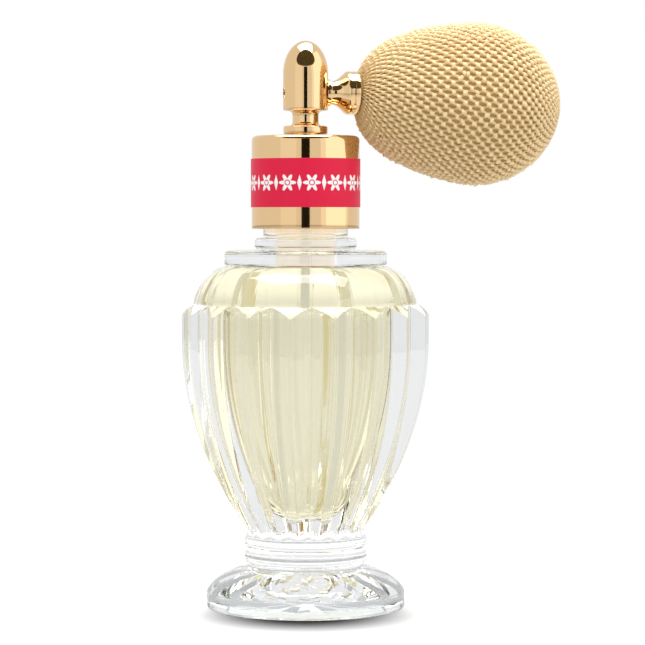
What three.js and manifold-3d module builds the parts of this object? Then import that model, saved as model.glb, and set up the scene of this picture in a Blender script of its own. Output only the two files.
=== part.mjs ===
// Perfume atomiser: a ribbed glass bottle on a turned foot, a screw collar, and a
// swivelling metal spray head with a net-covered rubber bulb.
//
// Millimetres, +Z up. The origin is the centre of the foot's resting plane, the bottle's
// axis is Z, and the bulb points along +X.

import * as THREE from 'three';
import { mergeVertices } from 'three/addons/utils/BufferGeometryUtils.js';
import Module from 'manifold-3d';

const wasm = await Module();
wasm.setup();

// ---------------------------------------------------------------- driving dimensions

const ROUND = 36; // sides of the large round pieces
const MIDDLE_ROUND = 32;
const SMALL_ROUND = 20; // sides of the small round pieces
const OVERLAP = 0.4; // how far two solids run into each other before they are joined
const FIT = 0.1; // gap between pieces that are pressed or glued together
const CLEAR = 0.3; // gap between pieces that seat on each other and come apart

// Bottle: foot, rings and body
const FOOT_R = 21.2;
const FOOT_EDGE = 3.8; // height of the foot's upright rim
const FOOT_BEVEL = 0.8;
const FOOT_HEIGHT = 8.8;
const FOOT_RING_WIDTH = 3.4; // flat ring that the bottle stands on
const STAR_RIM_DEPTH = 1.25; // star cut under the foot: its shallow lines at the rim,
const STAR_CUT_DEPTH = 0.3; // how much deeper the lines between them are,
const STAR_CENTRE_DEPTH = 1.7; // and its centre
const GROOVE_R = 12.5;
const RING_R = 13.2;
const RING_COUNT = 2;
const RING_PITCH = 3.3;
const BODY_R = 26.6; // across the ribs' ridges at the widest
const BODY_WIDEST = 40; // height of the widest level over the ribs' lower ends
const BODY_STRAIGHT = 4.5; // upright stretch above it
const BODY_LOW_R = 12.9; // across the ridges at their lower ends
const RIB_COUNT = 18;
const RIB_DEPTH = 2.5; // ridge to valley at the widest
const RIB_TURN = THREE.MathUtils.degToRad(10.1); // first ridge, round from the bulb
const RIB_TOP = 3.4; // height over which each rib's top is sloped off
const DOME_HEIGHT = 9.3;
const WALL = 8.1; // glass from the ribs' valleys to the cavity
const CAVITY_FLOOR = 4.6; // cavity's floor over the ribs' lower ends

// Bottle: steps and neck
const STEP_R = 17.35;
const STEP_HEIGHT = 3.4;
const STEP_ROUND = 0.9;
const STEP_TWO_R = 10.9;
const STEP_TWO_HEIGHT = 2.7;
const NECK_R = 9.05;
const NECK_BORE_R = 6.5;
const NECK_HEIGHT = 16;
const THREAD_PITCH = 3.18;
const THREAD_TURNS = 1.5;
const THREAD_DEPTH = 0.8;
const THREAD_FOOT = 1.7; // thread's width at its root
const THREAD_CREST = 0.7;
const THREAD_START = 3.6; // lowest thread centre over the second step
const PERFUME_GAP = 1.2; // air between the perfume and the underside of the neck

// Collar
const COLLAR_GAP = 1.9; // neck that shows between the second step and the collar
const COLLAR_R = 11.5;
const COLLAR_HEIGHT = 19.8;
const COLLAR_ROUND = 1.0;
const COLLAR_WALL = 0.5;
const INSERT_WALL = 0.85;
const LABEL_HEIGHT = 10.3;
const LABEL_RAISE = 4.6; // label's lower edge over the collar's
const LABEL_THICK = 0.15;
const FLANGE_R = 8.6;
const FLANGE_THICK = 1.0;
const GASKET_THICK = 0.7;
const PLUG_DEPTH = 8.2;

// Stem and head
const SHANK_R = 3.2;
const STEM_BORE_R = 1.75;
const SEAL_R = 0.5; // seal's own thickness, halved
const DISC_R = 4.75;
const DISC_HEIGHT = 1.8;
const DISC_ROUND = 0.4;
const WAIST_R = 2.8;
const WAIST_HEIGHT = 3.3;
const WAIST_FLARE = 0.9;
const HEAD_R = 4.8;
const HEAD_STRAIGHT = 7.8;
const HEAD_NOSE = 7.0;
const SPRAY_HEIGHT = 3.8; // spray axis over the head's lower face
const SPIGOT_R = 2.5; // stem's end inside the head
const SPIGOT_HEIGHT = 1.4;
const NOZZLE_R = 1.4;
const NOZZLE_DEPTH = 1.5;
const ORIFICE_R = 0.25;
const TUBE_R = 1.25;
const TUBE_BORE_R = 0.75;
const TUBE_FLOOR_GAP = 2.2;

// Funnel and bulb
const FUNNEL_R = 2.45;
const FUNNEL_RIM_R = 4.6;
const FUNNEL_REACH = 11.2; // rim's face from the bottle's axis
const FUNNEL_RIM_WIDTH = 1.2;
const FUNNEL_FLARE = 2.6; // where the flare is at its full width, back from the rim's face
const FUNNEL_RIM_WALL = 0.45;
const FUNNEL_CUP = 1.6; // depth of the cup inside the rim
const FUNNEL_LIP = 0.6; // its straight part
const FUNNEL_SPIGOT_R = 1.9;
const BORE_R = 0.8; // air bores
const BARB_R = 2.0;
const BARB_LENGTH = 3.2; // beyond the funnel's rim
const BULB_DROOP = THREE.MathUtils.degToRad(4.5);
const NET_START = 0.15; // where the net starts to swell, past the funnel's rim
const NET_LENGTH = 44.85;
const NET_R = 17.35;
const NET_WIDEST = 0.595; // share of the length at which the bulb is widest
const NET_FRONT = [1.55, 0.345]; // the near half's outline is (1 - w ** first) ** second
const NET_BACK = [1.9, 1 / 1.9]; // and the far half's
const NET_THICK = 0.55;
const NET_NECK_R = 3.85;
const BULB_WALL = 1.5;
const BULB_NECK_R = 3.0;
const BULB_NECK_BORE_R = 2.45;
const BINDING_R = 0.21; // binding wire's own thickness, halved
const VALVE_BODY_R = 2.4;
const VALVE_CHAMBER_R = 1.6;
const FLAP_THICK = 0.35;
const FLAP_TRAVEL = 0.6;
const TIE_R = 0.3; // drawstring's own thickness, halved

// ---------------------------------------------------------------- heights that follow

const RIBS_LOW = FOOT_HEIGHT + 0.6 + RING_COUNT * RING_PITCH + 1.1;
const RIBS_WIDEST = RIBS_LOW + BODY_WIDEST;
const RIBS_HIGH = RIBS_WIDEST + BODY_STRAIGHT;
const VALLEY_R = BODY_R - RIB_DEPTH;
const DOME_LOW = RIBS_HIGH + RIB_TOP - 1;
const DOME_REACH = VALLEY_R - STEP_R + 2.2; // dome's curve runs in under the first step
const STEP_LOW = DOME_LOW + DOME_HEIGHT - 0.3;
const STEP_HIGH = STEP_LOW + STEP_HEIGHT;
const NECK_LOW = STEP_HIGH + STEP_TWO_HEIGHT;
const NECK_TOP = NECK_LOW + NECK_HEIGHT;
const COLLAR_LOW = NECK_LOW + COLLAR_GAP;
const COLLAR_TOP = COLLAR_LOW + COLLAR_HEIGHT;
const FLANGE_LOW = NECK_TOP + GASKET_THICK + 2 * FIT;
const FLANGE_TOP = FLANGE_LOW + FLANGE_THICK;
const PLUG_LOW = FLANGE_LOW - PLUG_DEPTH;
const DISC_LOW = COLLAR_TOP + CLEAR;
const WAIST_LOW = DISC_LOW + DISC_HEIGHT;
const HEAD_LOW = WAIST_LOW + WAIST_HEIGHT;
const SPRAY_Z = HEAD_LOW + SPRAY_HEIGHT;
const CAVITY_LOW = RIBS_LOW + CAVITY_FLOOR;
const CAVITY_R = VALLEY_R - WALL;
const CAVITY_HIGH = STEP_LOW - 0.4; // underside of the glass over the perfume
const TUBE_LOW = CAVITY_LOW + TUBE_FLOOR_GAP;
const RIM_X = FUNNEL_REACH;

// ---------------------------------------------------------------- materials

const material = (color, roughness, metalness, opacity = 1) =>
  new THREE.MeshStandardMaterial({
    color, roughness, metalness, opacity, transparent: opacity < 1,
  });
const clearGlass = material(0xf1f4f5, 0.04, 0, 0.35);
const perfumeYellow = material(0xded7af, 0.05, 0, 0.6);
const gold = material(0xd9bd85, 0.14, 1);
const brass = material(0xb59a5b, 0.3, 1);
const steel = material(0xb9bbbd, 0.3, 1);
const crimson = material(0xe62850, 0.55, 0);
const whitePlastic = material(0xeeeeea, 0.4, 0);
const clearPlastic = material(0xe9edee, 0.2, 0, 0.6);
const blackRubber = material(0x26262a, 0.7, 0);
const tanRubber = material(0xc9a36d, 0.65, 0);
const goldNet = material(0xd7b478, 0.6, 0);
const goldCord = material(0xc9a15c, 0.5, 0);

// ---------------------------------------------------------------- making solids

/** A closed three.js geometry as a Manifold solid, with its faces turned outwards. */
function solid(geometry) {
  const bare = geometry.clone();
  for (const name of Object.keys(bare.attributes)) {
    if (name !== 'position') bare.deleteAttribute(name);
  }
  const merged = mergeVertices(bare, 1e-5);
  const at = merged.getAttribute('position');
  const index = merged.getIndex().array;
  const kept = [];
  let volume = 0;
  const [a, b, c] = [new THREE.Vector3(), new THREE.Vector3(), new THREE.Vector3()];
  for (let i = 0; i < index.length; i += 3) {
    const [p, q, r] = index.slice(i, i + 3);
    if (p === q || q === r || r === p) continue;
    kept.push(p, q, r);
    a.fromBufferAttribute(at, p);
    b.fromBufferAttribute(at, q);
    c.fromBufferAttribute(at, r);
    volume += a.dot(b.cross(c));
  }
  if (volume < 0) kept.reverse();
  return new wasm.Manifold(new wasm.Mesh({
    numProp: 3,
    vertProperties: new Float32Array(at.array),
    triVerts: new Uint32Array(kept),
  }));
}

/** A solid of revolution about Z from [radius, height] points that close on the axis or on themselves. */
function turned(points, sides = ROUND) {
  const lathe = new THREE.LatheGeometry(points.map(([r, z]) => new THREE.Vector2(r, z)), sides);
  return solid(lathe.rotateX(Math.PI / 2));
}

/** A pipe or ring about Z: a rectangle of [inner, outer] radius and [low, high] height, revolved. */
const ring = (inner, outer, low, high, sides = ROUND) =>
  turned([[inner, low], [outer, low], [outer, high], [inner, high], [inner, low]], sides);

/** A cylinder about Z. */
const rod = (radius, low, high, sides = ROUND) =>
  turned([[0, low], [radius, low], [radius, high], [0, high]], sides);

/** A ring of round section about Z, as an O-ring is. */
function torus(middle, section, height, sides = SMALL_ROUND) {
  const circle = new THREE.EllipseCurve(middle, height, section, section);
  return turned(circle.getPoints(8).map((p) => [p.x, p.y]), sides);
}

/** Points of a curve as [radius, height] pairs. */
const along = (curve, steps) => curve.getPoints(steps).map((p) => [p.x, p.y]);

/** A quarter or part of an ellipse, from one angle to another in degrees. */
const arc = (cx, cy, rx, ry, from, to, steps) => along(new THREE.EllipseCurve(
  cx, cy, rx, ry, THREE.MathUtils.degToRad(from), THREE.MathUtils.degToRad(to), to < from,
), steps);

/** A solid skinned over rings of points, all of one length, with flat or pointed ends. */
function lofted(rings) {
  const sides = rings[0].length;
  const middle = (points) => points.reduce((sum, p) => sum.add(p), new THREE.Vector3())
    .divideScalar(sides);
  const points = [...rings.flat(), middle(rings[0]), middle(rings.at(-1))];
  const index = [];
  for (let k = 0; k < rings.length; k += 1) {
    for (let i = 0; i < sides; i += 1) {
      const here = k * sides + i;
      const next = k * sides + ((i + 1) % sides);
      if (k === 0) index.push(points.length - 2, next, here);
      if (k === rings.length - 1) index.push(points.length - 1, here, next);
      else index.push(here, next, next + sides, here, next + sides, here + sides);
    }
  }
  const geometry = new THREE.BufferGeometry().setFromPoints(points);
  geometry.setIndex(index);
  return solid(geometry);
}

/** A screw thread: a tapered bar wound round Z, fading out over its first and last stretch. */
function thread(root, depth, foot, crest, start, turns) {
  const steps = Math.round(turns * 24);
  const rings = [];
  for (let i = 0; i <= steps; i += 1) {
    const turn = (i / steps) * turns;
    const height = start + turn * THREAD_PITCH;
    const fade = Math.min(1, 0.05 + turn * 6, 0.05 + (turns - turn) * 6);
    const angle = turn * 2 * Math.PI;
    const inside = root - Math.sign(depth) * OVERLAP;
    const tip = root + depth * fade;
    rings.push([
      [inside, -foot / 2], [root, -foot / 2], [tip, -crest / 2],
      [tip, crest / 2], [root, foot / 2], [inside, foot / 2],
    ].map(([r, z]) => new THREE.Vector3(r * Math.cos(angle), r * Math.sin(angle), height + z)));
  }
  return lofted(rings);
}

const cut = (whole, ...parts) => parts.reduce((left, part) => left.subtract(part), whole);
const join = (first, ...parts) => parts.reduce((sum, part) => sum.add(part), first);

/** A named mesh of a finished solid. */
function mesh(name, shape, look) {
  const result = shape.getMesh();
  const geometry = new THREE.BufferGeometry();
  geometry.setAttribute('position', new THREE.BufferAttribute(new Float32Array(result.vertProperties), 3));
  geometry.setIndex(new THREE.BufferAttribute(new Uint32Array(result.triVerts), 1));
  geometry.computeVertexNormals();
  const made = new THREE.Mesh(geometry, look);
  made.name = name;
  return made;
}

// ---------------------------------------------------------------- bottle

/** Radius across the ridges: a parabola from the lower ends up to the widest level. */
function ridgeRadius(z) {
  const down = Math.max(0, (RIBS_WIDEST - z) / (RIBS_WIDEST - RIBS_LOW));
  return BODY_R - (BODY_R - BODY_LOW_R) * down * down;
}

const valleyRadius = (z) => ridgeRadius(z) * (VALLEY_R / BODY_R);

/** The ribbed body: a star-shaped section whose ridges and valleys follow the outline. */
function ribbedBody() {
  const levels = [RIBS_LOW - OVERLAP];
  for (let i = 0; i <= 10; i += 1) levels.push(RIBS_LOW + (i / 10) * BODY_WIDEST);
  levels.push(RIBS_HIGH + RIB_TOP + OVERLAP);
  const star = lofted(levels.map((z) => {
    const points = [];
    for (let i = 0; i < 2 * RIB_COUNT; i += 1) {
      const angle = RIB_TURN + (i * Math.PI) / RIB_COUNT;
      const r = i % 2 ? valleyRadius(z) : ridgeRadius(z);
      points.push(new THREE.Vector3(r * Math.cos(angle), r * Math.sin(angle), z));
    }
    return points;
  }));
  const slope = [];
  for (let i = 0; i <= 5; i += 1) {
    slope.push([BODY_R + 0.1 - (RIB_DEPTH + 0.1) * (i / 5) ** 2, RIBS_HIGH + (i / 5) * RIB_TOP]);
  }
  return star.intersect(turned([
    [0, RIBS_LOW - 1], [BODY_R + 1, RIBS_LOW - 1], [BODY_R + 1, RIBS_HIGH], ...slope,
    [0, RIBS_HIGH + RIB_TOP],
  ], 2 * MIDDLE_ROUND));
}

/** The foot and the rings between it and the body. */
function footAndRings() {
  const outline = [
    [0, 0], [FOOT_R - FOOT_BEVEL, 0],
    ...arc(FOOT_R - FOOT_BEVEL, FOOT_BEVEL, FOOT_BEVEL, FOOT_BEVEL, -60, 0, 3),
    ...along(new THREE.QuadraticBezierCurve(
      new THREE.Vector2(FOOT_R, FOOT_EDGE),
      new THREE.Vector2(FOOT_R - 1.6, FOOT_EDGE + 2.4),
      new THREE.Vector2(GROOVE_R + 0.4, FOOT_HEIGHT),
    ), 6),
    [GROOVE_R, FOOT_HEIGHT + 0.3],
  ];
  for (let i = 0; i < RING_COUNT; i += 1) {
    const middle = FOOT_HEIGHT + 0.6 + (i + 0.5) * RING_PITCH;
    outline.push(...arc(GROOVE_R, middle, RING_R - GROOVE_R, RING_PITCH / 2 - 0.35, -90, 90, 4));
  }
  outline.push([GROOVE_R, RIBS_LOW - 0.3], [BODY_LOW_R - 0.6, RIBS_LOW + OVERLAP], [0, RIBS_LOW + OVERLAP]);
  return turned(outline);
}

/** The star cut under the foot, as the solid that it takes away. */
function starCut() {
  const reach = FOOT_R - FOOT_BEVEL - FOOT_RING_WIDTH;
  const level = (heights, radius) => Array.from({ length: 2 * RIB_COUNT }, (_, i) => {
    const angle = RIB_TURN + (i * Math.PI) / RIB_COUNT;
    return new THREE.Vector3(radius * Math.cos(angle), radius * Math.sin(angle), heights[i % 2]);
  });
  return lofted([
    level([-1, -1], reach),
    level([STAR_RIM_DEPTH, STAR_RIM_DEPTH + STAR_CUT_DEPTH], reach),
    level([STAR_CENTRE_DEPTH, STAR_CENTRE_DEPTH + 0.1], 0.6),
  ]);
}

/** The smooth dome over the ribs, the two steps and the neck. */
function domeAndNeck() {
  return turned([
    [0, DOME_LOW - OVERLAP], [VALLEY_R - OVERLAP, DOME_LOW - OVERLAP],
    ...arc(VALLEY_R - DOME_REACH, DOME_LOW, DOME_REACH, DOME_HEIGHT, 0, 75, 8),
    [STEP_R - 0.2, STEP_LOW],
    ...arc(STEP_R - STEP_ROUND, STEP_LOW + STEP_ROUND, STEP_ROUND, STEP_ROUND, -70, 0, 3),
    ...arc(STEP_R - STEP_ROUND, STEP_HIGH - STEP_ROUND, STEP_ROUND, STEP_ROUND, 0, 90, 4),
    [STEP_TWO_R - 0.3, STEP_HIGH], [STEP_TWO_R - 0.3, STEP_HIGH + 0.4],
    ...arc(STEP_TWO_R - 0.5, NECK_LOW - 1.6, 0.5, 0.5, -60, 0, 2),
    ...arc(STEP_TWO_R - 0.7, NECK_LOW - 0.7, 0.7, 0.7, 0, 90, 3),
    [NECK_R + 0.3, NECK_LOW], [NECK_R, NECK_LOW + 0.3],
    [NECK_R, NECK_TOP - 0.4], [NECK_R - 0.4, NECK_TOP], [0, NECK_TOP],
  ]);
}

/** The cavity's outline from the floor up to the underside of the neck, drawn in by a gap. */
function cavityOutline(gap, top) {
  const inside = (z) => Math.min(CAVITY_R, valleyRadius(z) - WALL) - gap;
  const floor = CAVITY_LOW + gap;
  const floorRound = 6.5;
  const wallFoot = floor + floorRound;
  const outline = [[0, floor], ...arc(
    inside(wallFoot) - floorRound * 0.9, wallFoot, floorRound * 0.9, floorRound, -90, 0, 4,
  )];
  for (let i = 1; i <= 7; i += 1) {
    const z = wallFoot + (i / 7) * (RIBS_WIDEST - wallFoot);
    outline.push([inside(z), z]);
  }
  const domeFoot = RIBS_HIGH;
  const reach = CAVITY_R - NECK_BORE_R;
  const dome = arc(NECK_BORE_R - gap, domeFoot, reach, top - gap - domeFoot, 0, 88, 8);
  return [...outline, ...dome];
}

const perfumeTop = CAVITY_HIGH - PERFUME_GAP;

function bottle() {
  const neckThread = thread(
    NECK_R, THREAD_DEPTH, THREAD_FOOT, THREAD_CREST, NECK_LOW + THREAD_START, THREAD_TURNS,
  );
  const cavity = turned([
    ...cavityOutline(0, CAVITY_HIGH), [NECK_BORE_R, CAVITY_HIGH + 1], [NECK_BORE_R, NECK_TOP + 1],
    [0, NECK_TOP + 1],
  ], MIDDLE_ROUND);
  const glass = join(footAndRings(), ribbedBody(), domeAndNeck(), neckThread);
  return mesh('bottle', cut(glass, starCut(), cavity), clearGlass);
}

function perfume() {
  const filled = turned([...cavityOutline(FIT, CAVITY_HIGH), [0, CAVITY_HIGH - FIT]], MIDDLE_ROUND);
  const level = rod(BODY_R, 0, perfumeTop, 8);
  const tubeRoom = rod(TUBE_R + CLEAR, TUBE_LOW - CLEAR, NECK_TOP, SMALL_ROUND);
  return mesh('perfume', cut(filled.intersect(level), tubeRoom), perfumeYellow);
}

// ---------------------------------------------------------------- closure and collar

/** The plug that closes the neck: it holds the stem, and the collar clamps its flange. */
function plug() {
  const body = turned([
    [SHANK_R + FIT, PLUG_LOW], [NECK_BORE_R - 0.6, PLUG_LOW], [NECK_BORE_R - FIT, PLUG_LOW + 1],
    [NECK_BORE_R - FIT, FLANGE_LOW], [FLANGE_R, FLANGE_LOW], [FLANGE_R, FLANGE_TOP],
    [SHANK_R + FIT, FLANGE_TOP], [SHANK_R + FIT, PLUG_LOW],
  ]);
  return mesh('plug', body, whitePlastic);
}

const neckGasket = () => mesh(
  'neck_gasket', ring(NECK_BORE_R + FIT, FLANGE_R, NECK_TOP + FIT, FLANGE_LOW - FIT), blackRubber,
);

const COLLAR_HOLE_R = SHANK_R + 0.4;
const INSERT_R = COLLAR_R - COLLAR_WALL - FIT;
const INSERT_TOP = COLLAR_TOP - COLLAR_WALL - FIT;

function collarShell() {
  const outside = turned([
    [0, COLLAR_LOW], [COLLAR_R - 0.2, COLLAR_LOW], [COLLAR_R, COLLAR_LOW + 0.2],
    ...arc(COLLAR_R - COLLAR_ROUND, COLLAR_TOP - COLLAR_ROUND, COLLAR_ROUND, COLLAR_ROUND, 0, 90, 5),
    [0, COLLAR_TOP],
  ]);
  const innerRound = COLLAR_ROUND - COLLAR_WALL;
  const inside = turned([
    [0, COLLAR_LOW - 1], [COLLAR_R - COLLAR_WALL, COLLAR_LOW - 1],
    ...arc(
      COLLAR_R - COLLAR_ROUND, COLLAR_TOP - COLLAR_ROUND, innerRound, innerRound, 0, 90, 3,
    ),
    [0, COLLAR_TOP - COLLAR_WALL],
  ]);
  const hole = rod(COLLAR_HOLE_R, COLLAR_LOW, COLLAR_TOP + 1);
  return mesh('collar_shell', cut(outside, inside, hole), gold);
}

/** The plastic liner: its thread screws onto the neck, and its web holds the plug's flange down. */
function collarInsert() {
  const bore = INSERT_R - INSERT_WALL;
  const webLow = FLANGE_TOP + FIT;
  const corner = COLLAR_ROUND - COLLAR_WALL + FIT;
  const body = turned([
    [bore, COLLAR_LOW + 0.6], [INSERT_R, COLLAR_LOW + 0.6], [INSERT_R, INSERT_TOP - corner],
    [INSERT_R - corner, INSERT_TOP], [bore - 0.6, INSERT_TOP], [bore - 0.6, webLow + 1.2],
    [COLLAR_HOLE_R, webLow + 1.2], [COLLAR_HOLE_R, webLow], [bore, webLow],
    [bore, COLLAR_LOW + 0.6],
  ]);
  // a rib below each turn of the neck's thread, half a pitch down
  const rib = thread(
    bore, -(bore - NECK_R - CLEAR), THREAD_FOOT - 0.5, THREAD_CREST - 0.1,
    NECK_LOW + THREAD_START + THREAD_PITCH / 2, THREAD_TURNS,
  );
  return mesh('collar_insert', join(body, rib), whitePlastic);
}

const labelBand = () => mesh('label_band', ring(
  COLLAR_R + 0.03, COLLAR_R + 0.03 + LABEL_THICK,
  COLLAR_LOW + LABEL_RAISE, COLLAR_LOW + LABEL_RAISE + LABEL_HEIGHT,
), crimson);

// ---------------------------------------------------------------- stem and head

const sealZ = FLANGE_LOW - 2.6;
const retainerZ = PLUG_LOW - FIT;
const RETAINER_THICK = 0.9;

/** The turned stem: shank through the plug, disc on the collar, waist, and spigot in the head. */
function stem() {
  const grooveR = SHANK_R - 2 * SEAL_R + 0.05;
  const neckR = SHANK_R - 0.6;
  const clipHigh = retainerZ + 0.05;
  const clipLow = retainerZ - RETAINER_THICK - 0.05;
  const body = turned([
    [STEM_BORE_R, clipLow - 0.9], [SHANK_R - 0.3, clipLow - 0.9], [SHANK_R, clipLow - 0.6],
    [SHANK_R, clipLow], [neckR, clipLow], [neckR, clipHigh], [SHANK_R, clipHigh],
    [SHANK_R, sealZ - SEAL_R - FIT], [grooveR, sealZ - SEAL_R - FIT],
    [grooveR, sealZ + SEAL_R + FIT], [SHANK_R, sealZ + SEAL_R + FIT],
    [SHANK_R, DISC_LOW], [DISC_R - DISC_ROUND, DISC_LOW],
    ...arc(DISC_R - DISC_ROUND, DISC_LOW + DISC_ROUND, DISC_ROUND, DISC_ROUND, -90, 0, 3),
    ...arc(DISC_R - DISC_ROUND, WAIST_LOW - DISC_ROUND, DISC_ROUND, DISC_ROUND, 0, 90, 3),
    ...arc(WAIST_R + WAIST_FLARE, WAIST_LOW + WAIST_FLARE, WAIST_FLARE, WAIST_FLARE, 270, 180, 4),
    ...arc(WAIST_R + WAIST_FLARE, HEAD_LOW - WAIST_FLARE - FIT, WAIST_FLARE, WAIST_FLARE, 180, 90, 4),
    [SPIGOT_R, HEAD_LOW - FIT], [SPIGOT_R, HEAD_LOW + SPIGOT_HEIGHT],
    [STEM_BORE_R, HEAD_LOW + SPIGOT_HEIGHT], [STEM_BORE_R, clipLow - 0.9],
  ], SMALL_ROUND);
  return mesh('stem', body, gold);
}

const stemSeal = () => mesh(
  'stem_seal', torus(SHANK_R - SEAL_R + 0.07, SEAL_R - 0.01, sealZ), blackRubber,
);

/** A snap ring in the shank's groove, open on one side, that keeps the stem in the plug. */
function stemRetainer() {
  const slit = solid(new THREE.BoxGeometry(4, 1.6, 4).translate(-5, 0, retainerZ));
  const clip = ring(SHANK_R - 0.5, SHANK_R + 0.9, retainerZ - RETAINER_THICK, retainerZ, SMALL_ROUND);
  return mesh('stem_retainer', cut(clip, slit), steel);
}

/** A cylinder along X at the spray's height. */
const crossRod = (radius, from, to) => rod(radius, from, to, SMALL_ROUND)
  .rotate([0, 90, 0]).translate([0, 0, SPRAY_Z]);

const NOZZLE_SEAT = HEAD_R - NOZZLE_DEPTH - 0.2;
const FUNNEL_SEAT = 2.0;

function head() {
  const body = turned([
    [0, HEAD_LOW], [HEAD_R - 0.3, HEAD_LOW], [HEAD_R, HEAD_LOW + 0.3],
    ...arc(0, HEAD_LOW + HEAD_STRAIGHT, HEAD_R, HEAD_NOSE, 0, 90, 10),
  ], MIDDLE_ROUND);
  const stemBore = rod(SPIGOT_R + FIT, HEAD_LOW - 1, HEAD_LOW + SPIGOT_HEIGHT + FIT, SMALL_ROUND);
  const jetBore = rod(STEM_BORE_R, HEAD_LOW, SPRAY_Z, SMALL_ROUND);
  return mesh('head', cut(
    body, stemBore, jetBore,
    crossRod(BORE_R, -HEAD_R, HEAD_R),
    crossRod(NOZZLE_R, -HEAD_R - 1, -NOZZLE_SEAT),
    crossRod(FUNNEL_SEAT, FUNNEL_SEAT, HEAD_R + 1),
  ), gold);
}

/** The spray nozzle, pressed into the side away from the bulb. */
function nozzle() {
  const disc = crossRod(NOZZLE_R - FIT, -NOZZLE_SEAT - NOZZLE_DEPTH + FIT, -NOZZLE_SEAT - FIT);
  const chamber = crossRod(BORE_R, -NOZZLE_SEAT - 0.9, -NOZZLE_SEAT + 1);
  return mesh('nozzle', cut(disc, crossRod(ORIFICE_R, -HEAD_R - 1, 0), chamber), brass);
}

const jetLow = HEAD_LOW + SPIGOT_HEIGHT + FIT;
const tubeTop = jetLow + 0.9;

/** The jet that carries perfume from the dip tube into the air stream. */
function jet() {
  const body = rod(STEM_BORE_R - FIT, jetLow, SPRAY_Z - BORE_R - FIT, SMALL_ROUND);
  const seat = rod(TUBE_R + 0.05, jetLow - 1, tubeTop + 0.05, SMALL_ROUND);
  const bore = rod(0.35, jetLow, SPRAY_Z, 16);
  return mesh('jet', cut(body, seat, bore), brass);
}

const dipTube = () => mesh(
  'dip_tube', ring(TUBE_BORE_R, TUBE_R, TUBE_LOW, tubeTop, SMALL_ROUND), clearPlastic,
);

// ---------------------------------------------------------------- funnel and bulb

/** Turns a solid made about Z so that its axis runs along +X at the spray's height. */
const outwards = (shape) => shape.rotate([0, 90, 0]).translate([0, 0, SPRAY_Z]);

/** The same, but from the funnel's rim on, along the drooping bulb. Heights count from the rim. */
const onBulb = (shape) => shape
  .rotate([0, 90 + THREE.MathUtils.radToDeg(BULB_DROOP), 0])
  .translate([RIM_X, 0, SPRAY_Z]);

const WASHER_THICK = 0.45;
const funnelLow = HEAD_R + WASHER_THICK + FIT;
const cupFloor = RIM_X - FUNNEL_CUP;

/** The thin ring between the funnel and the head. */
const funnelWasher = () => mesh('funnel_washer', outwards(ring(
  FUNNEL_SEAT, FUNNEL_R + 0.4, HEAD_R + 0.02, HEAD_R + 0.02 + WASHER_THICK, SMALL_ROUND,
)), gold);

/** The trumpet that carries the bulb, with its spigot in the head. */
function funnel() {
  const bead = FUNNEL_RIM_WIDTH / 2;
  const outside = turned([
    [0, FUNNEL_SEAT + 0.3], [FUNNEL_SPIGOT_R, FUNNEL_SEAT + 0.3], [FUNNEL_SPIGOT_R, funnelLow],
    ...along(new THREE.CubicBezierCurve(
      new THREE.Vector2(FUNNEL_R, funnelLow),
      new THREE.Vector2(FUNNEL_R + 0.3, RIM_X - FUNNEL_FLARE - 1.7),
      new THREE.Vector2(FUNNEL_RIM_R - 0.9, RIM_X - FUNNEL_FLARE - 1.2),
      new THREE.Vector2(FUNNEL_RIM_R - 0.15, RIM_X - FUNNEL_FLARE),
    ), 8),
    [FUNNEL_RIM_R, RIM_X - FUNNEL_FLARE + 0.4],
    [FUNNEL_RIM_R, RIM_X - FUNNEL_RIM_WIDTH - 0.3],
    [FUNNEL_RIM_R - 0.3, RIM_X - FUNNEL_RIM_WIDTH],
    ...arc(FUNNEL_RIM_R - bead, RIM_X - bead, bead, bead, -60, 60, 6),
    [FUNNEL_RIM_R - bead, RIM_X], [0, RIM_X],
  ], SMALL_ROUND);
  const mouth = FUNNEL_RIM_R - FUNNEL_RIM_WALL;
  const cup = turned([
    [0, cupFloor], [BARB_R + FIT, cupFloor], [mouth, RIM_X - FUNNEL_LIP], [mouth, RIM_X + 1],
    [0, RIM_X + 1],
  ], SMALL_ROUND);
  const bore = rod(BORE_R, 0, RIM_X, SMALL_ROUND);
  const seat = rod(1.7, cupFloor - 1.9, RIM_X, SMALL_ROUND);
  return mesh('funnel', outwards(cut(outside, cup, bore, seat)), gold);
}

const outletFlapLow = RIM_X + 0.5;

/** The nipple that the bulb's neck is pushed over, with the outlet valve's chamber inside. */
function barb() {
  const end = RIM_X + BARB_LENGTH;
  const body = turned([
    [0, cupFloor - 1.8], [1.6, cupFloor - 1.8], [1.6, cupFloor + FIT], [BARB_R, cupFloor + FIT],
    [BARB_R, end - 1.2], [BARB_R + 0.15, end - 1], [BARB_R - 0.2, end], [0, end],
  ], SMALL_ROUND);
  const chamber = rod(
    1.35, outletFlapLow - FIT, outletFlapLow + FLAP_THICK + FLAP_TRAVEL + CLEAR, SMALL_ROUND,
  );
  const bore = rod(BORE_R, 0, end + 1, SMALL_ROUND);
  return mesh('barb', outwards(cut(body, chamber, bore)), brass);
}

const outletFlap = () => mesh('outlet_flap', outwards(
  rod(1.15, outletFlapLow, outletFlapLow + FLAP_THICK, SMALL_ROUND),
), blackRubber);

/** Where, as a share of a half oval's length, its outline is down to a share of its radius. */
const shareOut = (part, [first, second]) => (1 - part ** (1 / second)) ** (1 / first);

/** How far along the bulb a surface drawn in by a depth comes down to a radius at the far end. */
function farEnd(depth, r) {
  const length = NET_LENGTH - 2 * depth;
  const w = shareOut(r / (NET_R - depth), NET_BACK);
  return NET_START + depth + (NET_WIDEST + (1 - NET_WIDEST) * w) * length;
}

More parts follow.
